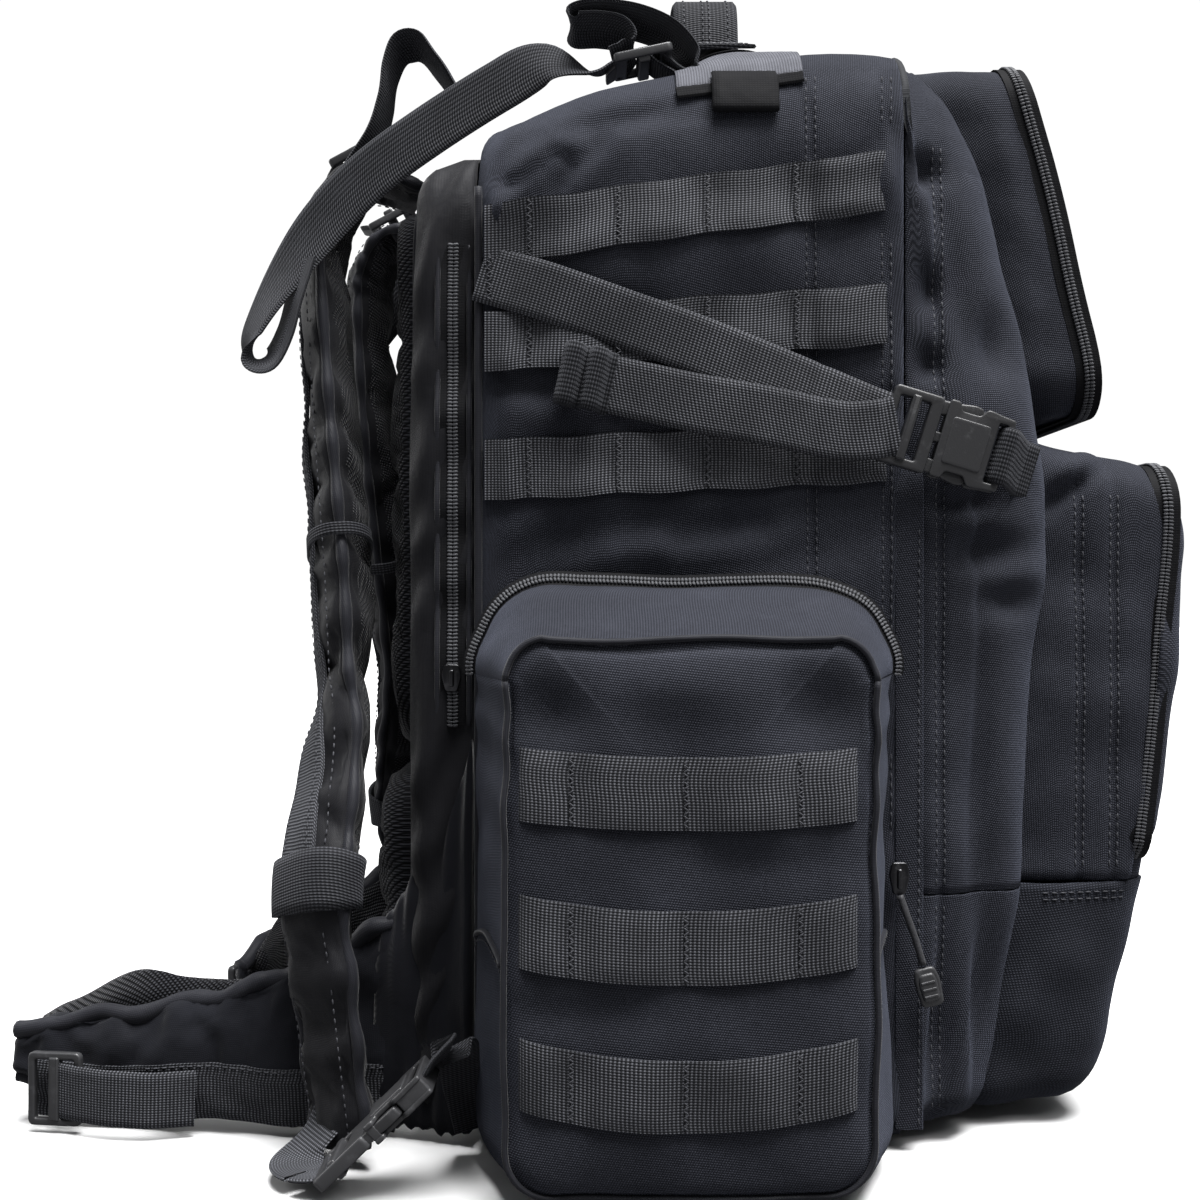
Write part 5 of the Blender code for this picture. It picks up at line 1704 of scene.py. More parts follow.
def make_handle(tree):
    arch = list(HANDLE_ARCH) + [(-x, z) for x, z in reversed(HANDLE_ARCH[:-1])]
    line = smooth_line([HANDLE_HINGE + Vector((x, 0, z)) for x, z in arch], 90)
    widths = [0.011 + 0.0205 * ease((point.z - HANDLE_HINGE.z - 0.001) / 0.017) for point in line]
    grip = ribbon("carry_handle_webbing", line, (0, 1, 0), widths, 0.0034, RIBBED_AND_SHADE, 12)
    attach(grip, "handle", "webbing", "carry_handle")
    for share in (-0.34, -0.05, 0.05, 0.34):
        rail = []
        for point, along, wide in zip(line, directions(line), widths):
            up = Vector((0, 1, 0)).cross(along) * -1
            rail.append(point + Vector((0, share * wide, 0)) + up * 0.0020)
        stitches["handle"].stitch(rail, 0.0026, 0.0012)
    for side, name in SIDES:
        rows = []
        for step in range(25):
            v = step / 24
            near, far = -0.0400 + 0.0065 * ease(v * 1.5), -0.0650 - 0.0240 * ease(v * 1.5)
            row = []
            for k in range(29):
                y = near + (far - near) * k / 28
                tent = 0.0240 * (1 - ease(v / 0.80)) * (1 - 0.75 * abs(2 * k / 28 - 1) ** 2.4)
                angle = math.radians(55) * clamp((v - 0.60) / 0.40)
                x = side * (0.0605 + 0.0595 * min(v / 0.60, 1.0))
                outward = Vector((side * math.sin(angle), 0, math.cos(angle)))
                start = Vector((x, y, top_height(y) - 0.040)) + outward * 0.15
                row.append(lay(tree, start, -outward, 0.0016) + Vector((0, 0, tent)))
            rows.append(row)
        patch = surface(f"handle_patch_{name}", rows, PATCH, away=(0, -0.06, 0.2))
        thicken(patch, 0.0016)
        attach(patch, "pack", "webbing")
        edge = rows[-1]
        loop = [row[0] for row in rows] + edge[1:-1] + [row[-1] for row in reversed(rows)]
        inner = [point.lerp(Vector((side * 0.092, -0.0625, point.z)), 0.07) for point in loop]
        stitches["pack"].stitch([point + Vector((0, 0, 0.0007)) for point in inner], 0.0024, 0.0012)
        down = Vector((side * 0.40, 0, -0.92))
        # Painted shadow: a black band laid just below the patch's lower edge, where the patch casts its shadow.
        shadow_band_line = [point + down * 0.0022 + Vector((0, 0, 0.0006)) for point in edge]
        attach(ribbon(f"handle_shadow_band_{name}", shadow_band_line, down, 0.0062, 0.0016, TAPE_AND_SHADE), "pack", "webbing")
        # Painted shadow: a black sheet arched over the patch, standing in for the shaded hollow under the handle's
        # folded edges.
        shadow_arch_rows = []
        for step in range(13):
            share = step / 12
            row = rows[round(10 * share)]
            middle, reach = 14, 4.5 + 6.0 * math.sqrt(share)
            places = [middle + reach * (k / 6 - 1) for k in range(13)]
            across = [row[int(place)].lerp(row[int(place) + 1], place % 1) for place in places]
            shadow_arch_rows.append([point + Vector((side * 0.0005, 0, 0.0010)) for point in across])
        shadow_arch_sheet = surface(f"handle_shadow_arch_{name}", shadow_arch_rows, TAPE_AND_SHADE, away=(0, -0.06, 0.2))
        thicken(shadow_arch_sheet, 0.0006)
        attach(shadow_arch_sheet, "pack", "webbing")
        foot = []
        widths_out = []
        for step in range(16):
            v = step / 15
            share = v * 0.40
            place = rows[min(int(share * 24), 23)][14].lerp(rows[min(int(share * 24), 23) + 1][14], share * 24 % 1)
            foot.append(place + Vector((side * 0.0014, 0, 0.0026)))
            widths_out.append(0.0150 + 0.0165 * v)
        anchor = ribbon(f"handle_anchor_{name}", foot, (0, 1, 0), widths_out, 0.0020, RIBBED_AND_SHADE, 10)
        attach(anchor, "pack", "webbing")
        for step in range(2, 15, 2):
            centre, wide = foot[step], widths_out[step] * 0.40
            stitches["pack"].stitch(
                [centre + Vector((0, -wide, 0.0013)), centre + Vector((0, wide, 0.0013))], 0.0022, 0.0010
            )
        # A webbing end hanging below the patch; its black is partly its own colour and partly painted shade, for the
        # shadow it hangs in.
        top = edge[15] + down * 0.001
        tab_route = [
            top + Vector((-side * 0.0040, 0, 0.0060)), top + Vector((side * 0.0022, 0, 0.0022)),
            top + Vector((side * 0.0062, 0, -0.0040)), top + Vector((side * 0.0085, 0, -0.0090)),
            top + Vector((side * 0.0095, 0, -0.0130)), top + Vector((side * 0.0080, 0, -0.0141)),
            top + Vector((side * 0.0068, 0, -0.0130)), top + Vector((side * 0.0062, 0, -0.0090)),
        ]
        tab = ribbon(f"hanging_tab_{name}", smooth_line(tab_route, 30), (0, 1, 0), 0.0290, 0.0016, TAPE_AND_SHADE)
        attach(tab, "pack", "webbing")


def make_lifter(side, name):
    x = side * LIFTER_X
    height = top_height(-0.018) + 0.0105
    route = [(x, -0.0065, height - 0.0010), (x, 0.0040, height - 0.0050)] + [(x, y, z) for y, z in LIFTER_ROUTE[1:]]
    route += [
        (x + side * 0.0010, 0.1600, 0.3560), (x + side * 0.0030, 0.1570, 0.3490), (x + side * 0.0045, 0.1495, 0.3500),
        (x + side * 0.0050, 0.1430, 0.3620), (x + side * 0.0045, 0.1385, 0.3790), (x + side * 0.0030, 0.1340, 0.3950),
    ]
    line = smooth_line(route, 130)
    across = []
    for index, (point, along) in enumerate(zip(line, directions(line))):
        flat = Vector((0.12 * side, along.z, -along.y))
        if flat.z > 0:
            flat = -flat
        lying = Vector((side, 0, -0.20))
        turned = Vector((side * 0.85, -0.35, -0.40))
        flat = lying.lerp(flat, ease((point.y + 0.004) / 0.045))
        run = clamp((0.430 - point.z) / 0.078) if index < 105 else 1.0
        across.append(flat.normalized().lerp(turned.normalized(), ease(run)))
    strap = ribbon(f"lifter_{name}", line, across, 0.0245, WEBBING, RIBBED_AND_SHADE)
    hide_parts(f"load_lifter_{name}")
    inner = x - side * 0.022
    free_route = [
        (inner, 0.1160, 0.4400), (inner, 0.1060, 0.4560), (inner, 0.1010, 0.4720), (inner, 0.0985, 0.4880),
        (inner, 0.0935, 0.4990), (inner, 0.0850, 0.5000), (inner, 0.0770, 0.4910), (inner, 0.0700, 0.4810),
        (inner, 0.0660, 0.4720), (inner, 0.0700, 0.4640), (inner, 0.0800, 0.4580),
    ]
    if side > 0:
        free_route = [(fx, fy, fz if fz < 0.456 else 0.456 + 0.45 * (fz - 0.456)) for fx, fy, fz in free_route]
    free = ribbon(f"lifter_tail_{name}", smooth_line(free_route, 60), (side, 0.1, 0.42), 0.0235, WEBBING, RIBBED_AND_SHADE)
    for piece in (strap, free):
        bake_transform(piece)
    tilt = math.radians(-12)
    u = Vector((0, math.cos(tilt), math.sin(tilt)))
    ladder_lock(f"top_lock_{name}", (x, -0.018, height), u, (side * -1.0, 0, 0), "pack", f"top_ladder_lock_{name}")
    anchor_route = [
        (x, -0.0400, height - 0.0110), (x, -0.0330, height - 0.0075), (x, -0.0240, height - 0.0020),
        (x, -0.0215, height + 0.0025), (x, -0.0270, height + 0.0020), (x, -0.0350, height - 0.0050),
        (x, -0.0440, height - 0.0100),
    ]
    anchor = ribbon(f"lifter_anchor_{name}", smooth_line(anchor_route, 40), (1, 0, 0), STRAP_WIDTH, WEBBING, RIBBED_AND_SHADE)
    attach(anchor, "pack", "webbing")
    over_route = [
        (x, -0.0060, height - 0.0005), (x, -0.0105, height + 0.0020), (x, -0.0145, height + 0.0070),
        (x, -0.0095, height + 0.0130), (x, 0.0010, height + 0.0150), (x, 0.0110, height + 0.0150),
        (x, 0.0120, height + 0.0185), (x, 0.0020, height + 0.0205), (x, -0.0160, height + 0.0185),
        (x, -0.0320, height + 0.0120), (x, -0.0420, height + 0.0020), (x, -0.0435, height - 0.0060),
    ]
    over = ribbon(f"lifter_knot_{name}", smooth_line(over_route, 90), (side, 0, 0.42), STRAP_WIDTH, WEBBING, RIBBED_AND_SHADE)
    attach(over, "pack", "webbing")


# ---------------------------------------------------------------- shoulder straps

STRAP_STATIONS = (
    (0.060, 0.0885, 0.4375, 0.058, 0.008), (0.066, 0.1110, 0.4430, 0.062, 0.012),
    (0.074, 0.1270, 0.4300, 0.064, 0.016), (0.080, 0.1325, 0.4050, 0.064, 0.018),
    (0.088, 0.1290, 0.3400, 0.064, 0.020), (0.097, 0.1245, 0.2900, 0.062, 0.022),
    (0.108, 0.1200, 0.2400, 0.058, 0.023), (0.122, 0.1175, 0.1900, 0.052, 0.023),
    (0.150, 0.1200, 0.1440, 0.046, 0.024), (0.167, 0.1220, 0.1100, 0.040, 0.022),
    (0.173, 0.1160, 0.0600, 0.036, 0.018), (0.175, 0.1100, 0.0080, 0.034, 0.013),
)
KEEPERS = ((0.102, 0.128, 0.0042), (0.262, 0.272, 0.0040), (0.352, 0.362, 0.0040))
AROUND = 44
BOUND_EDGE = 0.93
STIFFNESS = 18.0


def inflate(obj, pinned, pressure, cap):
    """Cloth simulation on a closed dense mesh whose seams stay where they are; applied before it returns."""
    scene = bpy.context.scene
    rest = [vert.co.copy() for vert in obj.data.vertices]
    group = obj.vertex_groups.new(name="seams")
    for index, weight in enumerate(pinned):
        if weight > 0:
            group.add([index], weight, "REPLACE")
    cloth = obj.modifiers.new("Cloth", "CLOTH")
    settings = cloth.settings
    settings.quality = 6
    settings.mass = 0.25
    settings.tension_stiffness = STIFFNESS
    settings.compression_stiffness = STIFFNESS * 0.35
    settings.shear_stiffness = STIFFNESS * 0.5
    settings.bending_stiffness = 0.4
    settings.use_pressure = True
    settings.uniform_pressure_force = pressure
    settings.effector_weights.gravity = 0
    settings.vertex_group_mass = "seams"
    settings.shrink_min = -0.035
    cloth.point_cache.frame_start = 1
    cloth.point_cache.frame_end = 20
    for frame_number in range(1, 21):
        scene.frame_set(frame_number)
    evaluated = obj.evaluated_get(bpy.context.evaluated_depsgraph_get())
    places = [vert.co.copy() for vert in evaluated.data.vertices]
    obj.modifiers.remove(cloth)
    obj.vertex_groups.remove(group)
    scene.frame_set(1)
    for vert, before, after in zip(obj.data.vertices, rest, places):
        move = after - before
        if move.length > cap:
            move *= cap / move.length
        vert.co = before + move
    obj.data.update()


def bar_corner(step):
    """How far round and how far across a bar's ring one of its corners lies, each from -1 to 1."""
    angle = 2 * math.pi * (step + 0.5) / AROUND
    return math.sin(angle), math.copysign(abs(math.cos(angle)) ** 0.62, math.cos(angle))


def edge_pins(count, held=None):
    """Cloth weights that hold a bar's bound edges, its ends, and the stations for which held(place) is true."""
    weights = []
    for index in range(count * AROUND):
        place, step = divmod(index, AROUND)
        bound = abs(bar_corner(step)[1]) > BOUND_EDGE or place < 2 or place > count - 3
        weights.append(1.0 if bound or (held and held(place)) else 0.0)
    return weights


def soft_bar(name, stations, materials, folds, edge=0.0024):
    """A padded strap through stations (centre, wide, thick, half width, half thickness), thin at its bound edges."""
    rows = []
    for centre, wide, thick, half, deep in stations:
        row = []
        for step in range(AROUND):
            rise, x = bar_corner(step)
            crown = edge + (deep - edge) * max(0.0, 1 - abs(x) ** 3.0) ** 0.6
            row.append(centre + wide * half * x + thick * crown * math.copysign(abs(rise) ** 0.35, rise))
        rows.append(row)
    grid = np.array([[tuple(point) for point in row] for row in rows], float)
    count = len(stations)
    moved = grid.copy()
    for i, (middle, wide, thick, half, deep) in enumerate(stations):
        for j in range(AROUND):
            point = Vector(grid[i, j])
            offset = point - middle
            x = offset.dot(wide) / half
            up = offset.dot(thick)
            direction = (thick * math.copysign(1, up) * (1 - abs(x) ** 4) + wide * x * abs(x) ** 3).normalized()
            moved[i, j] = point + direction * folds(i / (count - 1), x, math.copysign(1, up))
    made = surface(name, moved, materials[0], wrap=True, caps=True, away=None)
    total = sum(polygon.center.dot(polygon.normal) * polygon.area for polygon in made.data.polygons)
    if total < 0:
        made.data.flip_normals()
        made.data.update()
    if len(materials) > 1:
        made.data.materials.append(materials[1])
        for polygon in made.data.polygons:
            place = min(polygon.index // AROUND, count - 1)
            if (polygon.center - stations[place][0]).dot(stations[place][2]) < -0.6 * stations[place][4]:
                polygon.material_index = 1
    return made


def bar_ring(station, lift):
    """A ring round a padded strap at one of its stations, lifted off its surface."""
    centre, wide, thick, half, deep = station
    edge = 0.0024
    ring = []
    for step in range(AROUND):
        rise, x = bar_corner(step)
        crown = edge + (deep - edge) * max(0.0, 1 - abs(x) ** 3.0) ** 0.6
        out = thick * (crown + lift) * math.copysign(abs(rise) ** 0.35, rise)
        ring.append(centre + wide * ((half + lift) * x) + out)
    return ring


def draped(name, tree, line, across, outs, width, lift, material):
    """Webbing that follows a padded surface below it; outs point away from the surface."""
    rows = []
    for point, side, out in zip(line, across, outs):
        section = []
        for step in range(9):
            place = point + side * (width * (step / 8 - 0.5))
            hit = tree.ray_cast(place + out * 0.05, -out)[0]
            section.append(hit if hit is not None else place)
        heights = [(hit - point).dot(out) for hit in section]
        level = sum(sorted(heights)[-4:]) / 4
        mixed = [0.55 * level + 0.45 * height for height in heights]
        mixed = [max(value, height) + lift for value, height in zip(mixed, heights)]
        section = [
            point + side * (width * (step / 8 - 0.5)) + out * height for step, height in enumerate(mixed)
        ]
        rows.append(section)
    smooth = np.array([[tuple(point) for point in row] for row in rows])
    for _ in range(4):
        smooth[1:-1] = 0.25 * smooth[:-2] + 0.5 * smooth[1:-1] + 0.25 * smooth[2:]
    full = []
    for row, out in zip(smooth, outs):
        top = [Vector(point) + out * 0.0006 for point in row]
        full.append(top + [point - out * WEBBING for point in reversed(top)])
    return surface(name, full, material, wrap=True, caps=True, sharp=60), smooth


def make_strap(side, name):
    count = 100
    line = smooth_line([(side * x, y, z) for x, y, z, width, thick in STRAP_STATIONS], count)
    lengths = [0.0]
    for a, b in zip(STRAP_STATIONS, STRAP_STATIONS[1:]):
        lengths.append(lengths[-1] + (Vector(b[:3]) - Vector(a[:3])).length)
    width_table = [(at, station[3]) for at, station in zip(lengths, STRAP_STATIONS)]
    thick_table = [(at, station[4]) for at, station in zip(lengths, STRAP_STATIONS)]
    twists = [(0.0, 0.85), (0.085, 0.85), (0.14, 0.55), (0.20, 0.22), (0.45, 0.05)]
    gone = 0.0
    stations = []
    for index, (point, along) in enumerate(zip(line, directions(line))):
        if index:
            gone += (point - line[index - 1]).length
        twist = interpolate(twists, point.z)
        wide = Vector((math.cos(twist), -side * math.sin(twist), 0))
        wide = (wide - along * wide.dot(along)).normalized()
        thick = wide.cross(along)
        if thick.y < 0:
            thick.negate()
        deep = interpolate(thick_table, gone) / 2
        stations.append((point, wide, thick, interpolate(width_table, gone) / 2, deep))
    total = gone

    def folds(share, x, face):
        run = share * total
        pucker = math.sin(run * 2 * math.pi / 0.025 + 2.5 * wave(run * 14, x, side, 71))
        amount = 0.0009 * pucker * abs(x) ** 2 + 0.0016 * wave(run * 22, x * 1.5 + face, side, 72)
        amount += 0.0010 * wave(run * 95, x * 3 + face * 2, side, 73)
        for spot in (0.30, 0.445):
            amount -= 0.0022 * math.exp(-((run - spot) / 0.010) ** 2)
        return amount

    pad = soft_bar(f"strap_pad_{name}", stations, (SMOOTH, MESH), folds)
    inflate(pad, edge_pins(count, lambda place: 0.100 < stations[place][0].z < 0.130), 3.5, 0.006)
    attach(pad, f"strap_{name}", "smooth_fabric", f"shoulder_strap_{name}")
    for sign, label in ((-1, "inner"), (1, "outer")):
        edge_line = []
        radii = []
        for index, (centre, wide, thick, half, deep) in enumerate(stations):
            run = index / (count - 1) * total
            pucker = math.sin(run * 2 * math.pi / 0.025 + 2.5 * wave(run * 14, sign, side, 71))
            edge_line.append(centre + wide * sign * (half - 0.0004 + 0.0008 * pucker))
            radii.append(0.0027 + 0.0004 * pucker)
        dense = smooth_line(edge_line, 220)
        thick_radii = [interpolate([(k, radius) for k, radius in enumerate(radii)], 99 * k / 219) for k in range(220)]
        binding = tube(f"strap_binding_{label}_{name}", dense, thick_radii, BINDING)
        attach(binding, f"strap_{name}", "webbing")
        rail = [
            centre + wide * sign * (half - 0.0052) + thick * (deep * 0.62 + 0.0012)
            for centre, wide, thick, half, deep in stations
        ]
        stitches[f"strap_{name}"].stitch(smooth_line(rail, 220), 0.0026, 0.0014)
    tree = bvh_of(pad)
    used = [station for index, station in enumerate(stations) if index > 9 and station[0].z > 0.112]
    webbing, laid = draped(
        f"strap_webbing_{name}", tree, [station[0] for station in used], [station[1] for station in used],
        [station[2] for station in used], 0.0250, 0.0006, GRID,
    )
    attach(webbing, f"strap_{name}", "webbing")
    for column in (1, 7):
        rail = [Vector(row[column]) + station[2] * 0.0010 for row, station in zip(laid, used)]
        stitches[f"strap_{name}"].stitch(smooth_line(rail, 200), 0.0026, 0.0014, 0.00030)
    for number, (z_low, z_high, lift) in enumerate(KEEPERS):
        inside = [index for index, station in enumerate(stations) if z_low <= station[0].z <= z_high and index > 12]
        if len(inside) < 2:
            continue
        rows = []
        for step in range(7):
            place = inside[0] + (inside[-1] - inside[0]) * step / 6
            low_index = int(place)
            share = place - low_index
            first = bar_ring(stations[low_index], lift)
            second = bar_ring(stations[min(low_index + 1, count - 1)], lift)
            rows.append([a.lerp(b, share) for a, b in zip(first, second)])
        band = surface(f"strap_keeper_{name}_{number + 1}", rows, RIBBED_AND_SHADE, wrap=True, away=stations[inside[0]][0])
        thicken(band, 0.0014)
        attach(band, f"strap_{name}", "webbing")
    tilt = math.radians(-28)
    ladder_lock(
        f"strap_lock_{name}", (side * 0.070, 0.1190, 0.4545), (0, math.cos(tilt), math.sin(tilt)), (-side, 0, 0),
        f"strap_{name}", f"strap_ladder_lock_{name}",
    )

    middle = Vector((side * 0.212, 0.0905, 0.02825))
    u = Vector((0, -0.043, 0.0415)).normalized()
    side_release(
        f"release_buckle_{name}", middle, u, (side * 1.0, 0, 0), f"strap_{name}", "pack", f"release_plug_{name}",
        f"release_socket_{name}", -0.0004, (-0.0298, 0.0298),
    )
    route = [
        (0.1660, 0.0560, 0.0120), (0.1780, 0.0580, 0.0300), (0.1930, 0.0590, 0.0480), (0.2060, 0.0600, 0.0570),
        (0.2115, 0.0660, 0.0545), (0.2115, 0.0705, 0.0475),
    ]
    line = smooth_line([(side * x, y, z) for x, y, z in route], 40)
    across = [Vector((0.35 * side, 1, 0)).lerp(Vector((side, 0.15, 0)), ease((k - 14) / 22)) for k in range(40)]
    widths = [0.014 + 0.008 * ease(k / 30) for k in range(40)]
    link = ribbon(f"release_link_{name}", line, across, widths, WEBBING, RIBBED_AND_SHADE)
    attach(link, "pack", "webbing", f"release_webbing_{name}")
    route = [
        (0.1748, 0.1120, 0.0300), (0.1770, 0.1180, 0.0160), (0.1850, 0.1250, 0.0085), (0.1950, 0.1260, 0.0065),
        (0.2050, 0.1220, 0.0065), (0.2115, 0.1140, 0.0080), (0.2115, 0.1077, 0.0117),
    ]
    line = smooth_line([(side * x, y, z) for x, y, z in route], 40)
    across = []
    for k, along in enumerate(directions(line)):
        flat = along.cross(Vector((0, 0, 1))).normalized()
        if flat.dot(stations[-1][1]) < 0:
            flat.negate()
        across.append(stations[-1][1].lerp(flat, ease((k - 6) / 12)))
    foot = ribbon(f"strap_foot_webbing_{name}", line, across, 0.0220, WEBBING, GRID)
    attach(foot, f"strap_{name}", "webbing")


# ---------------------------------------------------------------- hip belt

WING_ROUTES = {
    "left": ((0.139, 0.092), (0.135, 0.120), (0.131, 0.150), (0.127, 0.185), (0.122, 0.225), (0.116, 0.268)),
    "right": ((0.139, 0.092), (0.131, 0.118), (0.116, 0.145), (0.094, 0.168), (0.067, 0.184), (0.030, 0.196)),
}
WING_TOPS = (0.098, 0.082, 0.068, 0.058, 0.051, 0.046)
WING_LOWS = (0.004, 0.004, 0.006, 0.009, 0.012, 0.016)
WING_THICKS = (0.010, 0.014, 0.016, 0.016, 0.014, 0.008)


def make_wing(side, name):
    count = 80
    route = [(side * x, y, 0.0) for x, y in WING_ROUTES[name]]
    line = smooth_line(route, count)
    shares = [0.0]
    for a, b in zip(route, route[1:]):
        shares.append(shares[-1] + (Vector(b) - Vector(a)).length)
    tops, lows, thicks = (list(zip(shares, table)) for table in (WING_TOPS, WING_LOWS, WING_THICKS))
    gone = 0.0
    stations = []
    for index, (point, along) in enumerate(zip(line, directions(line))):
        if index:
            gone += (point - line[index - 1]).length
        out = Vector((along.y, -along.x, 0)) * side
        top, bottom, deep = (interpolate(table, gone) for table in (tops, lows, thicks))
        end = 1 - 0.30 * ease((gone - shares[-1] + 0.020) / 0.020)
        centre = Vector((point.x, point.y, (top + bottom) / 2))
        stations.append((centre, Vector((0, 0, 1)), out, (top - bottom) / 2 * end, deep / 2))
    total = gone

    def folds(share, x, face):
        run = share * total
        amount = 0.0012 * math.sin(run * 2 * math.pi / 0.027 + 3 * wave(run * 18, x, side, 81)) * abs(x) ** 2
        amount += 0.0026 * wave(run * 26, x * 1.4 + face, side, 82) + 0.0011 * wave(run * 80, x * 3, side + face, 83)
        return amount

    pad = soft_bar(f"wing_pad_{name}", stations, (FLEECE, MESH), folds, edge=0.0022)
    inflate(pad, edge_pins(count), 3.5, 0.006)
    attach(pad, f"wing_{name}", "smooth_fabric", f"belt_wing_{name}")
    for sign, label in ((1, "top"), (-1, "foot")):
        edge_line = []
        for index, (centre, wide, out, half, deep) in enumerate(stations):
            run = index / (count - 1) * total
            ripple = 0.0
            if sign > 0:
                ripple = 0.0016 * math.sin(run * 2 * math.pi / 0.034 + 2 * wave(run * 20, 0, side, 84))
            on_edge = centre + wide * (sign * (half - 0.0008) + ripple)
            edge_line.append(on_edge + out * (0.0016 * math.sin(run * 160)) * (sign > 0))
        thick = 0.0040 if sign > 0 else 0.0028
        radii = [thick + 0.0010 * wave(k * 0.11, side, 0, 85) for k in range(200)]
        binding = tube(f"wing_binding_{label}_{name}", smooth_line(edge_line, 200), radii, BINDING, 10)
        attach(binding, f"wing_{name}", "webbing")
    root = []
    for k in range(26):
        share = k / 25
        x = 0.1560 + (0.1385 - 0.1560) * share ** 0.8
        y = 0.0560 + (0.0990 - 0.0560) * share
        top, bottom = 0.1780 + (0.0920 - 0.1780) * share ** 0.75, 0.006
        out = Vector((side * 0.93, 0.36, 0)).normalized()
        root.append((Vector((side * x, y, (top + bottom) / 2)), Vector((0, 0, 1)), out, (top - bottom) / 2, 0.0048))
    joint = soft_bar(f"wing_root_{name}", root, (FLEECE,), folds, edge=0.0018)
    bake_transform(joint)
    lining = []
    for centre, wide, out, half, deep in stations:
        run = (centre - stations[0][0]).length / total
        rise = 0.0150 * math.exp(-((run - 0.70) / 0.17) ** 2) + 0.0010
        top = centre.z + half + rise
        middle = Vector((centre.x, centre.y, (top + centre.z - half + 0.010) / 2)) - out * (deep + 0.0035)
        lining.append((middle, wide, out, (top - (centre.z - half + 0.010)) / 2, 0.0052))

    def soft(share, x, face):
        return 0.0018 * wave(share * 9, x * 2 + face, side, 86)

    mesh_pad = soft_bar(f"wing_lining_{name}", lining[6:-3], (MESH,), soft, edge=0.0014)
    attach(mesh_pad, f"wing_{name}", "spacer_mesh")

    wing_tree = bvh_of(pad)
    band = []
    for index, (centre, wide, out, half, deep) in enumerate(stations[:76]):
        run = index / (count - 1)
        band.append(Vector((centre.x, centre.y, 0.0208 - 0.0040 * run + 0.0012 * math.sin(run * 14))))
    webbing, laid = draped(
        f"belt_band_{name}", wing_tree, band, [Vector((0, 0, 1))] * 76, [station[2] for station in stations[:76]],
        0.026, 0.0006, GRID,
    )
    attach(webbing, f"wing_{name}", "webbing", f"belt_webbing_{name}")
    rail = [Vector(row[8]) + Vector((0, 0, -0.0012)) + station[2] * 0.0010 for row, station in zip(laid, stations)]
    stitches[f"wing_{name}"].stitch(smooth_line(rail, 160)[:118], 0.0026, 0.0014)
    reach = [
        max((Vector(point) - station[0]).dot(station[2]) for point in row) for row, station in zip(laid, stations)
    ]
    centre, wide, out, half, deep = stations[70]
    along = directions(line)[70]
    spot = Vector((centre.x, centre.y, 0.0200)) + out * (reach[70] + 0.0060)
    world = axes(spot, along, (0, 0, 1) if side < 0 else (0, 0, -1))
    frame_plate = plate(
        "frame", [
            fillet([(-0.0125, -0.0165), (0.0125, -0.0165), (0.0125, 0.0165), (-0.0125, 0.0165)], 0.0030),
            box_outline(-0.0092, -0.0022, -0.0132, 0.0132), box_outline(0.0022, 0.0092, -0.0132, 0.0132),
        ], 0.0040, 0.0010, PLASTIC, world,
    )
    grip = plate("grip", [box_outline(-0.0024, 0.0024, -0.0145, 0.0145)], 0.0062, 0.0012, PLASTIC, world)
    attach(joined(f"belt_slider_{name}", [frame_plate, grip]), f"wing_{name}", "buckle_plastic")
    loop_line = []
    for index in range(71, 44, -1):
        centre, wide, out, half, deep = stations[index]
        share = (71 - index) / 26
        lift = reach[index] + 0.0022 + 0.0085 * math.sin(math.pi * min(1.0, share * 1.02)) + 0.0030 * (1 - share)
        loop_line.append(Vector((centre.x, centre.y, 0.0195 - 0.0020 * share)) + out * lift)
    across = [Vector((0, 0.06 * math.sin(k * 0.11), 1)) for k in range(60)]
    loop = ribbon(f"belt_loop_{name}", smooth_line(loop_line, 60), across, 0.0250, WEBBING, GRID)
    attach(loop, f"wing_{name}", "webbing")


# ---------------------------------------------------------------- zipper sliders and the cord pull

CORD_ROUTE = (
    (-0.1685, -0.1290, 0.1130), (-0.1700, -0.1315, 0.1050), (-0.1705, -0.1350, 0.0950), (-0.1705, -0.1385, 0.0835),
)


def zip_slider(name, centre, size, body, node):
    """A die-cast slider: a shield-shaped plate, a bridge and a short pull lying down over it."""
    world = axes(centre, (0, 0, 1), (0, 1, 0))
    length, wide = size
    shield = [
        (-length / 2, -wide * 0.30), (length * 0.10, -wide / 2), (length / 2, -wide * 0.36),
        (length / 2, wide * 0.36), (length * 0.10, wide / 2), (-length / 2, wide * 0.30),
    ]
    flat_plate = plate("plate", [fillet(shield, 0.0016)], 0.0018, 0.0006, METAL, world)
    outline = box_outline(-length * 0.32, length * 0.30, -0.0011, 0.0011)
    bridge = plate("bridge", [outline], 0.0042, 0.0007, METAL, world)
    outline = [(-length / 2, -0.0024), (length * 0.18, -0.0030), (length * 0.18, 0.0030), (-length / 2, 0.0024)]
    eye = box_outline(length * 0.02, length * 0.12, -0.0014, 0.0014, 0.0005)
    pull = plate(
        "pull", [fillet(outline, 0.0012), eye], 0.0013, 0.0004, METAL, lambda a, b, c: world(a, b, c - 0.0017)
    )
    return attach(joined(name, [flat_plate, bridge, pull]), body, "zipper_metal", node)


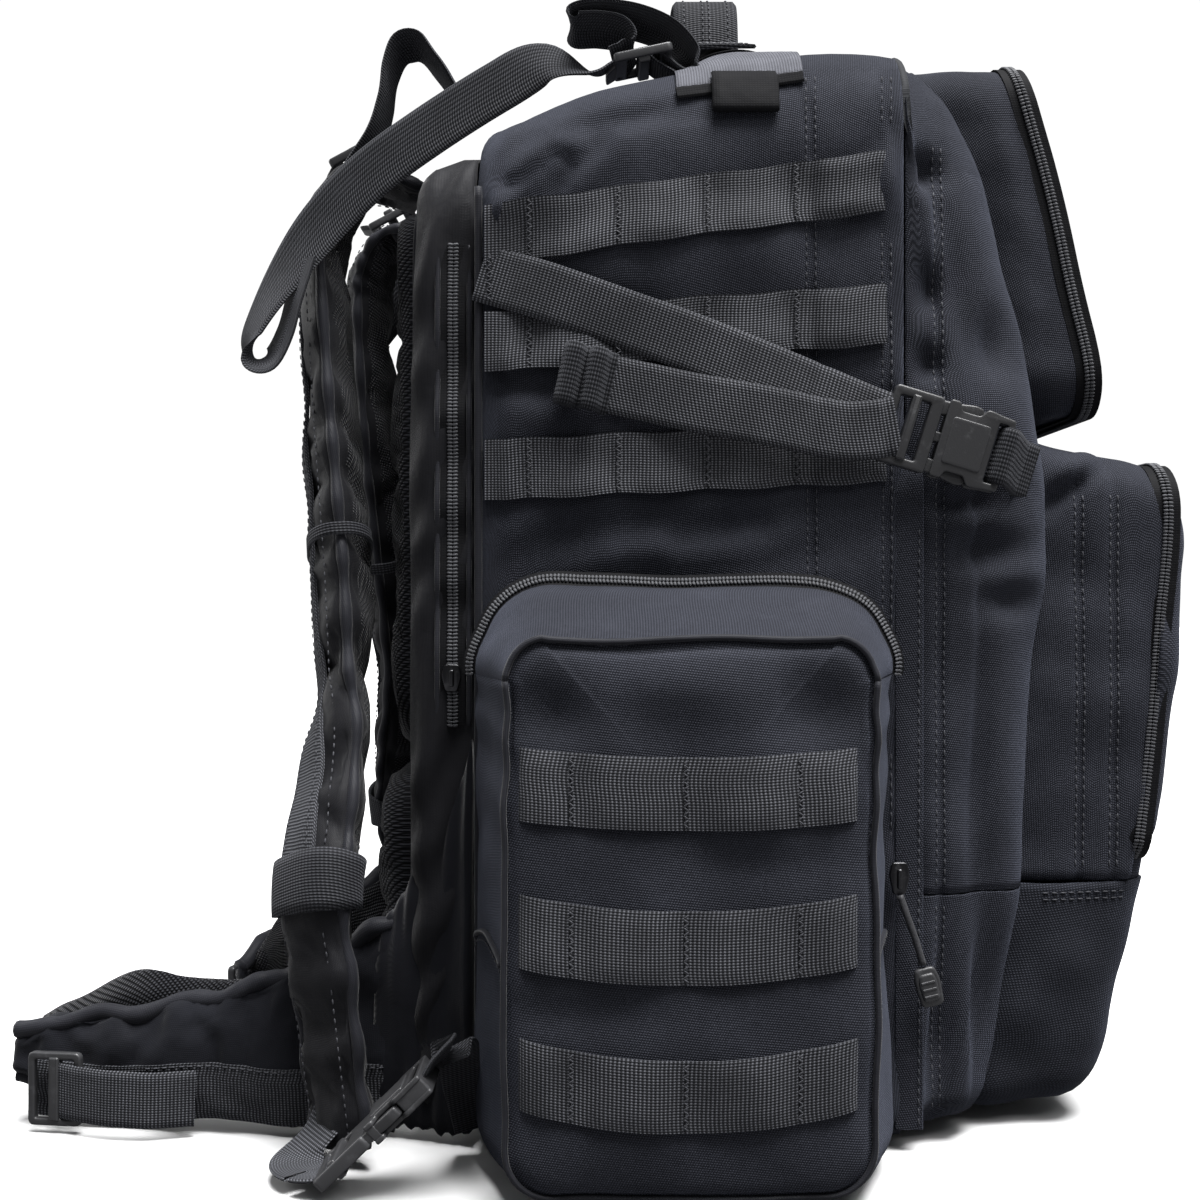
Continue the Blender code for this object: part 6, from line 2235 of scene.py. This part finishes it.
def make_pull_cord():
    path = smooth_line([Vector(point) for point in CORD_ROUTE], 17)
    cord = tube("zipper_pull_cord", path, 0.0015, CORD, 10)
    attach(cord, "main_slider", "webbing", "pull_cord")
    tilt = math.radians(-14)
    down = (0, math.sin(tilt), -math.cos(tilt))
    world = axes((-0.1705, -0.1408, 0.0742), down, (0, math.cos(tilt), math.sin(tilt)))
    shape = [
        (-0.0086, -0.0042), (-0.0030, -0.0056), (0.0080, -0.0050), (0.0087, 0.0), (0.0080, 0.0050),
        (-0.0030, 0.0056), (-0.0086, 0.0042),
    ]
    pieces = [
        plate("core", [fillet(shape, 0.0020)], 0.0034, 0.0012, PLASTIC, world),
        plate("grip", [fillet([(x * 0.72, y * 0.74) for x, y in shape], 0.0015)], 0.0052, 0.0012, PLASTIC, world),
    ]
    for place in (-0.0024, 0.0006, 0.0036):
        outline = box_outline(place - 0.0005, place + 0.0005, -0.0030, 0.0030, 0.0003)
        pieces.append(plate("rib", [outline], 0.0060, 0.0003, PLASTIC, world))
    end = joined("zipper_pull_end", pieces)
    attach(end, "main_slider", "buckle_plastic", "pull_cord_end")


def make_main_zip():
    """The coil zipper between the main body and the front section, under the storm flap."""
    for side, name in SIDES:
        line = []
        for k in range(110):
            z = 0.118 + 0.170 * k / 109
            line.append(Vector((side * (side_x(MAIN_FRONT + 0.002, z) - 0.0038), MAIN_FRONT - 0.0010, z)))
        normals = [Vector((side, 0, 0))] * len(line)
        zipper(f"main_zip_{name}", line, normals, [Vector((0, -1, 0))] * len(line), "pack", "front_panel", 0.0060)


def finish_hidden_nodes():
    for node, material in (
        ("base_panel", BASE), ("frame_sheet", SHEET), ("stay_left", ALUMINIUM), ("stay_right", ALUMINIUM),
    ):
        for slot in frame["nodes"][node].material_slots:
            slot.material = material


make_main()
make_side_rows()
front_trees = make_front()
make_upper_pocket()
make_lower_pocket()
make_rear()
make_cushion("back_cushion", "back_pad", 0.110, 0.170, 0.425, 0.0125, 61)
make_cushion("lumbar_cushion", "lumbar_pad", 0.118, 0.035, 0.160, 0.0190, 62)
for side, name in SIDES:
    make_pouch(side, name)
    make_compression(side, name, front_trees["front_panel"])
    make_lifter(side, name)
    make_strap(side, name)
    make_wing(side, name)
make_handle(bvh_of(bpy.data.objects["main_body"]))
make_main_zip()
zip_slider("main_zip_slider", (-0.1665, -0.1290, 0.1200), (0.014, 0.009), "main_slider", "main_zipper_slider")
zip_slider("rear_zip_slider", (-0.1565, 0.0648, 0.2060), (0.012, 0.009), "rear_slider", "rear_zipper_slider")
make_pull_cord()
finish_hidden_nodes()


# ---------------------------------------------------------------- the end

for body in BODIES:
    stitches[body].finish(f"stitching_{body}", THREAD, body)
    coils[body].finish(f"zipper_coils_{body}", COIL_AND_GLINT, body)
